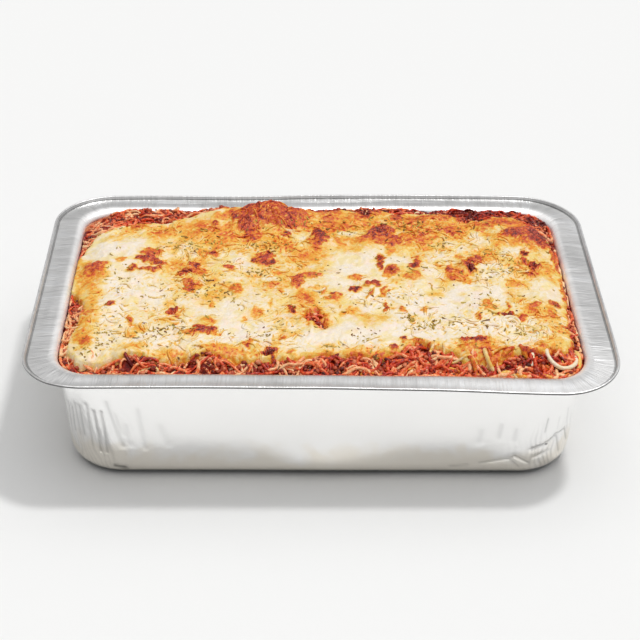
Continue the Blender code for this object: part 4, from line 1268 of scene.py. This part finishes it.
class TRAY_MEAL_OT_foil_tray(Operator):
    """Makes the foil tray with its pleated corners, flange and rolled bead"""

    bl_idname = "tray_meal.foil_tray"
    bl_label = "Foil tray"

    def execute(self, context):
        settings = context.scene.tray_meal_tray
        stations, marks = tray_profile()
        rim_points = np.array(ring_outline(0, RIM_CORNER))
        steps = np.hypot(*(np.roll(rim_points, -1, axis=0) - rim_points).T)
        run_along = np.concatenate(((0,), np.cumsum(steps)))
        builder = bmesh.new()
        total = len(rim_points)
        bmesh.ops.create_circle(builder, cap_ends=True, segments=total, radius=0.1)
        ring = self.turn_order(builder.verts)
        place = {}
        across, climbed = 0.0, []
        for index, (inset, height, corner) in enumerate(stations):
            if index:
                twins = extrude_boundary(builder)
                ring = [twins[vertex] for vertex in ring]
                across += math.dist((inset, height), stations[index - 1][:2])
            outline = ring_outline(inset, corner)
            for number, (vertex, (x, y)) in enumerate(zip(ring, outline)):
                vertex.co = (x * MM, y * MM, height * MM)
                place[vertex] = (number, across)
            climbed.append(across * MM)
        bmesh.ops.recalc_face_normals(builder, faces=builder.faces)
        floor = min(builder.faces, key=lambda face: face.calc_center_median().z)
        if floor.normal.z < 0:
            bmesh.ops.reverse_faces(builder, faces=builder.faces)
        self.unwrap(builder, place, run_along, total)
        fold = self.crumple(builder, place, run_along, settings.crumple)
        material = foil_material(settings.colour, *(climbed[mark] for mark in marks))
        tray = add_piece(
            "foil_tray_shell", builder, material, "foil_tray", {"fold": fold}
        )
        wall = tray.modifiers.new("foil thickness", "SOLIDIFY")
        wall.thickness = settings.foil
        wall.offset = -1.0
        return {"FINISHED"}

    @staticmethod
    def turn_order(verts):
        """The ring's vertices anticlockwise from the +X axis."""
        def turn(vertex):
            return math.atan2(vertex.co.y, vertex.co.x) % (2 * math.pi)

        return sorted(verts, key=lambda vertex: round(turn(vertex), 6) % round(2 * math.pi, 6))

    @staticmethod
    def unwrap(builder, place, run_along, total):
        """UV: metres round the tray, and metres up its section from the floor."""
        layer = builder.loops.layers.uv.new("section")
        for face in builder.faces:
            numbers = [place[loop.vert][0] for loop in face.loops]
            wraps = max(numbers) == total - 1 and min(numbers) == 0
            for loop, number in zip(face.loops, numbers):
                if wraps and number == 0:
                    number = total
                loop[layer].uv = (run_along[number] * MM, place[loop.vert][1] * MM)

    @staticmethod
    def crumple(builder, place, run_along, amount):
        """Creases the foil and returns the painted shade of its folds at each vertex."""
        verts = list(builder.verts)
        x, y, z = plan_positions(verts)
        run = np.array([run_along[place[vertex][0]] for vertex in verts])
        out, lift, fold = crumpled(x, y, z, run)
        out, lift = out * amount, lift * amount
        step = 0.5
        side_x = depth_inside_wall(x - step, y) - depth_inside_wall(x + step, y)
        side_y = depth_inside_wall(x, y - step) - depth_inside_wall(x, y + step)
        length = np.maximum(np.hypot(side_x, side_y), 1e-6)
        move_to(verts, x + out * side_x / length, y + out * side_y / length, z + lift)
        return fold


# ---------------------------------------------------------------- the food


def bed_outline(height, gap):
    """Half length, half width and corner radius of the food at a height up the wall."""
    inset = WALL_INSET + (FLANGE_LEVEL - SHOULDER_RADIUS - height) * WALL_SLOPE + gap
    share = min(1.0, max(0.0, 1 - (height - FLOOR_FILLET) / CORNER_RUN))
    corner = WALL_TOP_CORNER + (WALL_BOTTOM_CORNER - WALL_TOP_CORNER) * share
    return HALF_LENGTH - inset, HALF_WIDTH - inset, corner - gap


def surface_grid(builder, columns, rows, outline):
    """Adds a grid over the tray's opening. Returns its vertices and their places."""
    made = bmesh.ops.create_grid(builder, x_segments=columns, y_segments=rows, size=1.0)
    verts = made["verts"]
    square = np.array([vertex.co[:2] for vertex in verts])
    x, y = square_to_plan(square[:, 0], square[:, 1], *outline)
    return verts, square, x, y


class TRAY_MEAL_OT_spaghetti_bed(Operator):
    """Makes the core of sauced spaghetti that fills the tray"""

    bl_idname = "tray_meal.spaghetti_bed"
    bl_label = "Spaghetti bed"

    def execute(self, context):
        builder = bmesh.new()
        verts, square, x, y = surface_grid(builder, 300, 200, bed_outline(FOOD_EDGE, 0.1))
        x, y = push_off_wall(x, y, bed_height(x, y), 0.1)
        move_to(verts, x, y, bed_height(x, y) + sampled(strand_reliefs()[0], x, y) - 0.3)
        of_vertex = dict(zip(verts, square))
        for height in BED_RINGS:
            twins = extrude_boundary(builder)
            half_length, half_width, corner = bed_outline(height, 1.8)
            tuck = max(0.0, 11.0 - height)
            for old, new in twins.items():
                of_vertex[new] = of_vertex[old]
            fresh = list(twins.values())
            places = np.array([of_vertex[vertex] for vertex in fresh])
            fresh_x, fresh_y = square_to_plan(
                places[:, 0], places[:, 1], half_length - tuck, half_width - tuck, corner - tuck
            )
            move_to(fresh, fresh_x, fresh_y, np.full(len(fresh), height))
        bmesh.ops.contextual_create(builder, geom=boundary(builder))
        bmesh.ops.recalc_face_normals(builder, faces=builder.faces)
        add_piece("spaghetti_bed", builder, sauce_material(), "baked_spaghetti")
        return {"FINISHED"}


class TRAY_MEAL_OT_melted_cheese(Operator):
    """Makes the browned layer of melted cheese"""

    bl_idname = "tray_meal.melted_cheese"
    bl_label = "Melted cheese"

    def execute(self, context):
        thickness = context.scene.tray_meal_food.cheese / MM
        outline = bed_outline(FOOD_EDGE, 0.8)
        builder = bmesh.new()
        upper, _, x, y = surface_grid(builder, 372, 236, outline)
        move_to(upper, x, y, np.maximum(cheese_height(x, y, thickness), bed_height(x, y) - 1.7))
        lower, _, x, y = surface_grid(builder, 93, 59, outline)
        move_to(lower, x, y, bed_height(x, y) - 2.6)
        bmesh.ops.bridge_loops(builder, edges=boundary(builder))
        bmesh.ops.recalc_face_normals(builder, faces=builder.faces)
        x, y, _ = plan_positions(builder.verts)
        values = {
            "toasting": cheese_heat(x, y),
            # Painted shade in the valleys between strands where the cheese is busy.
            "crease": strand_creases(x, y) * patch_share(x, y, BUSY, 0.6),
        }
        add_piece(
            "melted_cheese_layer", builder, cheese_material(), "melted_cheese", values
        )
        return {"FINISHED"}


class TRAY_MEAL_OT_loose_spaghetti(Operator):
    """Lays the sauced strands that show round the edge and in the gaps of the cheese"""

    bl_idname = "tray_meal.loose_spaghetti"
    bl_label = "Loose spaghetti"

    def execute(self, context):
        food = context.scene.tray_meal_food
        generator = np.random.default_rng(SEED + 1)
        x, y = open_places(generator, food.strands, 0.55, 3.0)
        count = len(x)
        along_wall = np.where(np.abs(y) > 76, 0.0, math.pi / 2)
        heading = along_wall + 1.5 * ripple(x, y, 17.0, 93, 2) + generator.normal(0, 0.34, count)
        heading += math.pi * generator.integers(0, 2, count)
        steps = 12
        plan = wander(generator, x, y, heading, steps, 1.45, 0.17, food.strand / MM / 2 + 0.4)
        share = np.linspace(0, 1, steps)[None, :]
        layer = generator.uniform(-1.0, 1.3, count)[:, None]
        arch = generator.uniform(0.2, 1.6, count)[:, None] * np.sin(math.pi * share)
        wave = 0.4 * np.sin(share * generator.uniform(6, 16, count)[:, None] + layer * 9)
        z = bed_height(plan[..., 0], plan[..., 1]) + layer + arch + dive(share, 1.6) + wave
        thick = food.strand / MM / 2 * generator.uniform(0.70, 1.15, (count, 1))
        thick += (0.12 + 0.16 * fade(0, 60, x)[:, None]) * fade(-66, -76, y)[:, None]
        paths = np.dstack((*push_off_wall(plan[..., 0], plan[..., 1], z, thick * 1.06 + 0.3), z))
        radii = np.broadcast_to(thick, (count, steps)).copy()
        radii *= 1 + 0.06 * np.sin(share * 23 + layer * 7)
        builder, strand, _ = lay_strands(paths, radii, 5)
        tone = np.clip(generator.normal(0.54, 0.19, count), 0.02, 0.82)
        start = plan[:, steps // 2]
        tone += 0.46 * ripple(start[:, 0], start[:, 1], 12.0, 91, 2)
        tone -= 0.05 * fade(20, 90, start[:, 0])
        tone = np.minimum(tone, 0.80 - 0.22 * fade(-120, -130, start[:, 0]))
        tone += 0.22 * fade(-124, -133, start[:, 0]) + 0.14 * fade(128, 137, start[:, 0])
        # Painted shadow: strands at the back right, by the back wall, are darker.
        tone -= 0.38 * fade(40, 70, start[:, 0]) * fade(66, 78, start[:, 1])
        values = {"tone": tone[strand]}
        add_piece("loose_spaghetti", builder, strand_material(), None, values)
        return {"FINISHED"}


class TRAY_MEAL_OT_cheesed_spaghetti(Operator):
    """Lays the pale strands that stand out of the melted cheese"""

    bl_idname = "tray_meal.cheesed_spaghetti"
    bl_label = "Cheesed spaghetti"

    def execute(self, context):
        thickness = context.scene.tray_meal_food.cheese / MM
        steps = 16
        share = np.linspace(0, 1, steps)
        paths, radii, browned = [], [], []
        for *places, rise, thick, heat in LAID_STRANDS:
            x, y = push_inside(*arc_through(places, share), thick + 0.4)
            ground = food_height(x, y, thickness)
            ground = np.convolve(np.pad(ground, 3, "edge"), np.full(7, 1 / 7), "valid")
            z = ground + rise + dive(share, 1.6)
            paths.append(np.column_stack((x, y, z)))
            radii.append(np.full(steps, thick))
            browned.append(heat)
        builder, strand, _ = lay_strands(np.array(paths), np.array(radii), 8)
        values = {"toasting": np.array(browned)[strand], "crease": np.zeros(len(strand))}
        material = bpy.data.materials["melted_cheese"]
        add_piece("cheesed_spaghetti", builder, material, None, values)
        return {"FINISHED"}


class TRAY_MEAL_OT_sunken_spaghetti(Operator):
    """Lays the strands that are sunk in the melted cheese and stand half out of it"""

    bl_idname = "tray_meal.sunken_spaghetti"
    bl_label = "Sunken spaghetti"

    def execute(self, context):
        food = context.scene.tray_meal_food
        thickness = food.cheese / MM
        generator = np.random.default_rng(SEED + 4)
        x = generator.uniform(-138, 138, food.sunken * 6)
        y = generator.uniform(-80, 82, food.sunken * 6)
        busy = patch_share(x, y, BUSY, 0.6) * (cheese_cover(x, y)[1] > 5)
        keep = np.flatnonzero(generator.uniform(0.1, 1.0, len(x)) < busy)[:food.sunken]
        x, y, count = x[keep], y[keep], len(keep)
        heading = 2.4 * ripple(x, y, 22.0, 95, 2) + generator.normal(0, 0.5, count)
        steps = 10
        ridge = generator.uniform(0, 1, count) < 0.35
        stride = np.where(ridge, generator.uniform(0.5, 0.9, count), 1.25)
        plan = wander(generator, x, y, heading, steps, stride, 0.20, 3.0)
        along = np.sin(np.pi * np.linspace(0, 1, steps))[None, :]
        thin, thick = generator.uniform(0.40, 0.60, count), generator.uniform(0.60, 0.95, count)
        thick = np.where(ridge, thin, thick)
        sunk = (generator.uniform(-0.45, 0.25, count) * thick)[:, None] - 1.1 * (1 - along ** 0.5)
        z = cheese_height(plan[..., 0], plan[..., 1], thickness) + sunk
        radii = np.broadcast_to(thick[:, None], (count, steps))
        builder, strand, step = lay_strands(np.dstack((plan, z)), radii, 5)
        places = plan[strand, step]
        toasting = cheese_heat(places[:, 0], places[:, 1]) * 0.9
        tanned, pale = generator.uniform(0.00, 0.24, count), generator.uniform(-0.06, 0.12, count)
        toasting += np.where(ridge, tanned, pale)[strand]
        rise = plan_positions(builder.verts)[2] - z[strand, step]
        # Painted shade: the strand browns down its sides and underside, where it meets the cheese.
        crease = np.clip(0.7 - 1.1 * rise / thick[strand], 0, 1)
        values = {"toasting": toasting, "crease": crease}
        material = bpy.data.materials["melted_cheese"]
        add_piece("sunken_spaghetti", builder, material, None, values)
        return {"FINISHED"}


class TRAY_MEAL_OT_meat_crumbs(Operator):
    """Scatters crumbs of meat over the sauced spaghetti"""

    bl_idname = "tray_meal.meat_crumbs"
    bl_label = "Meat crumbs"

    def execute(self, context):
        food = context.scene.tray_meal_food
        generator = np.random.default_rng(SEED + 2)
        x, y = open_places(generator, food.crumbs, 0.45, 1.6)
        count = len(x)
        template = bmesh.new()
        bmesh.ops.create_cube(template, size=1.2)
        bmesh.ops.subdivide_edges(template, edges=template.edges, cuts=1, use_grid_fill=True)
        builder, lump = repeated(template, count)
        lump /= np.linalg.norm(lump, axis=1, keepdims=True)
        size = generator.uniform(0.5, 1.5, count)
        size *= 1 + 0.15 * fade(50, 0, x) * fade(-70, -80, y)
        shape = turned(lump, generator, count, math.pi)
        shape = shape * generator.uniform(0.72, 1.28, shape.shape[:2])[..., None]
        shape = shape * size[:, None, None] * np.array((1.0, 1.0, 0.8))
        height = bed_height(x, y) + generator.uniform(-0.2, 1.9, count)
        x, y = push_off_wall(x, y, height - size, size * 1.28 + 0.2)
        lay_out(builder.verts, shape + np.column_stack((x, y, height))[:, None, :])
        bmesh.ops.recalc_face_normals(builder, faces=builder.faces)
        tone = np.repeat(np.clip(generator.normal(0.45, 0.2, count), 0, 1), len(lump))
        add_piece("meat_crumbs", builder, crumb_material(), None, {"tone": tone})
        return {"FINISHED"}


class TRAY_MEAL_OT_herbs(Operator):
    """Scatters the dried herbs, thickly in some spots"""

    bl_idname = "tray_meal.herbs"
    bl_label = "Herbs"

    def execute(self, context):
        food = context.scene.tray_meal_food
        thickness = food.cheese / MM
        generator = np.random.default_rng(SEED + 3)
        places = [
            np.column_stack((
                generator.normal(x, radius_x * 0.55, count),
                generator.normal(y, radius_y * 0.55, count),
            ))
            for x, y, radius_x, radius_y, count in HERB_SPOTS
        ]
        places.append(np.column_stack((
            generator.uniform(-138, 138, LOOSE_HERBS), generator.uniform(-82, 84, LOOSE_HERBS),
        )))
        x, y = push_inside(*np.concatenate(places).T, 2.0)
        count = len(x)
        template = bmesh.new()
        bmesh.ops.create_cube(template, size=1.0)
        across = [edge for edge in template.edges
                  if abs(edge.verts[0].co.x - edge.verts[1].co.x) > 0.5]
        bmesh.ops.subdivide_edges(template, edges=across, cuts=2)
        builder, flake = repeated(template, count)
        length = food.flake / MM * np.minimum(generator.lognormal(-0.2, 0.60, count), 3.0)
        width = np.minimum(length * generator.uniform(0.40, 0.90, count), 0.95)
        thick = generator.uniform(0.08, 0.16, count)
        curl = generator.uniform(-2.6, 2.6, count)[:, None]
        twist = generator.uniform(-0.5, 0.5, count)[:, None]
        taper = 1 - 0.75 * np.abs(flake[:, 0] * 2) ** 2
        shape = np.stack((
            flake[None, :, 0] * length[:, None],
            (flake[None, :, 1] * taper + curl * (flake[None, :, 0] ** 2 - 0.1)) * width[:, None],
            flake[None, :, 2] * thick[:, None]
            + twist * flake[None, :, 0] * flake[None, :, 1] * length[:, None],
        ), axis=2)
        shape = self.turn_each(shape, generator, count)
        height = food_height(x, y, thickness) + HERB_LIFT
        step = 0.8
        slope_x = (food_height(x + step, y, thickness) - height + HERB_LIFT) / step
        slope_y = (food_height(x, y + step, thickness) - height + HERB_LIFT) / step
        lean = np.clip(shape[..., 0] * slope_x[:, None] + shape[..., 1] * slope_y[:, None], -1, 1)
        shape[..., 2] += lean
        lay_out(builder.verts, shape + np.column_stack((x, y, height))[:, None, :])
        bmesh.ops.recalc_face_normals(builder, faces=builder.faces)
        tone = np.repeat(np.clip(generator.normal(0.42, 0.22, count), 0, 1), len(flake))
        add_piece("herb_flakes", builder, herb_material(), None, {"tone": tone})
        return {"FINISHED"}

    @staticmethod
    def turn_each(shape, generator, count):
        """Turns each flake its own way round and lifts one of its ends."""
        spin = generator.uniform(0, 2 * math.pi, count)[:, None]
        lean = generator.uniform(-0.5, 0.5, count)[:, None]
        x = shape[..., 0] * np.cos(spin) - shape[..., 1] * np.sin(spin)
        y = shape[..., 0] * np.sin(spin) + shape[..., 1] * np.cos(spin)
        return np.stack((x, y, shape[..., 2] + x * lean * 0.4), axis=2)


def open_places(generator, count, most_cover, spread):
    """Random places in the tray where little cheese lies."""
    found = np.empty((0, 2))
    while len(found) < count:
        tries = np.column_stack((
            generator.uniform(-HALF_LENGTH + 18, HALF_LENGTH - 18, count * 4),
            generator.uniform(-HALF_WIDTH + 18, HALF_WIDTH - 18, count * 4),
        ))
        x, y = tries.T
        cover, _ = cheese_cover(x, y)
        keep = (depth_inside_wall(x, y) > 1.2) & (cover < most_cover)
        found = np.concatenate((found, tries[keep]))
    found = found[:count]
    return found[:, 0], found[:, 1]


# ---------------------------------------------------------------- stage


class TRAY_MEAL_OT_stage(Operator):
    """Makes the pale floor, the studio light and the camera"""

    bl_idname = "tray_meal.stage"
    bl_label = "Stage"

    def execute(self, context):
        settings = context.scene.tray_meal_stage
        self.floor(settings)
        self.light(settings)
        self.camera(context.scene, settings)
        context.scene.view_settings.view_transform = "Standard"
        return {"FINISHED"}

    @staticmethod
    def floor(settings):
        builder = bmesh.new()
        bmesh.ops.create_grid(builder, x_segments=1, y_segments=1, size=4.0)
        mesh = bpy.data.meshes.new("floor")
        builder.to_mesh(mesh)
        builder.free()
        mesh.materials.append(floor_material(settings.floor))
        floor = bpy.data.objects.new("floor", mesh)
        bpy.context.scene.collection.objects.link(floor)

    @staticmethod
    def light(settings):
        world = bpy.data.worlds.new("studio")
        bpy.context.scene.world = world
        world.use_nodes = True
        graph = Graph(world.node_tree, "Generated")
        sky = SKY_LOW + graph.part(graph.place, 2) * SKY_GAIN
        toward = {"operation": "DOT_PRODUCT"}
        facing = graph.node("ShaderNodeVectorMath", toward, {0: graph.place, 1: SOFTBOX}, 1)
        sky = sky + graph.rise(facing, 0.60, 0.92) * settings.softbox
        colour = graph.colour(sky, sky, sky * 1.005)
        background = world.node_tree.nodes["Background"]
        world.node_tree.links.new(colour.socket, background.inputs["Color"])
        lamp = bpy.data.lights.new("key", "SUN")
        lamp.energy = settings.key
        lamp.angle = math.radians(KEY_ANGLE)
        key = bpy.data.objects.new("key", lamp)
        key.rotation_mode = "QUATERNION"
        key.rotation_quaternion = KEY.to_track_quat("Z", "Y")
        bpy.context.scene.collection.objects.link(key)

    @staticmethod
    def camera(scene, settings):
        lens = bpy.data.cameras.new("camera")
        lens.lens = settings.lens
        lens.sensor_width = 36.0
        camera = bpy.data.objects.new("camera", lens)
        scene.collection.objects.link(camera)
        azimuth, elevation = math.radians(CAMERA_AZIMUTH), math.radians(CAMERA_ELEVATION)
        back = Vector((
            math.sin(azimuth) * math.cos(elevation),
            -math.cos(azimuth) * math.cos(elevation),
            math.sin(elevation),
        ))
        right = Vector((0, 0, 1)).cross(back).normalized()
        up = back.cross(right)
        facing = Matrix((right, up, back)).transposed()
        facing = facing @ Matrix.Rotation(math.radians(CAMERA_ROLL), 3, "Z")
        place = CAMERA_TARGET + back * CAMERA_DISTANCE
        camera.matrix_world = Matrix.LocRotScale(place, facing, None)
        scene.camera = camera


# ---------------------------------------------------------------- add-on


class TRAY_MEAL_PT_panel(Panel):
    """Lists the pieces of the tray meal"""

    bl_idname = "TRAY_MEAL_PT_panel"
    bl_label = "Tray Meal"
    bl_space_type = "VIEW_3D"
    bl_region_type = "UI"
    bl_category = "Tray Meal"

    def draw(self, context):
        for group in ("tray_meal_tray", "tray_meal_food", "tray_meal_stage"):
            settings = getattr(context.scene, group)
            box = self.layout.box()
            for name in settings.__annotations__:
                box.prop(settings, name)
        for operator in OPERATORS:
            self.layout.operator(operator.bl_idname)


SETTINGS = (TrayMealTray, TrayMealFood, TrayMealStage)
OPERATORS = (
    TRAY_MEAL_OT_foil_tray,
    TRAY_MEAL_OT_spaghetti_bed,
    TRAY_MEAL_OT_melted_cheese,
    TRAY_MEAL_OT_loose_spaghetti,
    TRAY_MEAL_OT_cheesed_spaghetti,
    TRAY_MEAL_OT_sunken_spaghetti,
    TRAY_MEAL_OT_meat_crumbs,
    TRAY_MEAL_OT_herbs,
    TRAY_MEAL_OT_stage,
)


def register():
    for item in (*SETTINGS, *OPERATORS, TRAY_MEAL_PT_panel):
        bpy.utils.register_class(item)
    bpy.types.Scene.tray_meal_tray = PointerProperty(type=TrayMealTray)
    bpy.types.Scene.tray_meal_food = PointerProperty(type=TrayMealFood)
    bpy.types.Scene.tray_meal_stage = PointerProperty(type=TrayMealStage)


def unregister():
    del bpy.types.Scene.tray_meal_tray
    del bpy.types.Scene.tray_meal_food
    del bpy.types.Scene.tray_meal_stage
    for item in reversed((*SETTINGS, *OPERATORS, TRAY_MEAL_PT_panel)):
        bpy.utils.unregister_class(item)


def main():
    register()
    bpy.ops.tray_meal.foil_tray()
    bpy.ops.tray_meal.spaghetti_bed()
    bpy.ops.tray_meal.melted_cheese()
    bpy.ops.tray_meal.loose_spaghetti()
    bpy.ops.tray_meal.cheesed_spaghetti()
    bpy.ops.tray_meal.sunken_spaghetti()
    bpy.ops.tray_meal.meat_crumbs()
    bpy.ops.tray_meal.herbs()
    bpy.ops.tray_meal.stage()


if __name__ == "__main__":
    main()
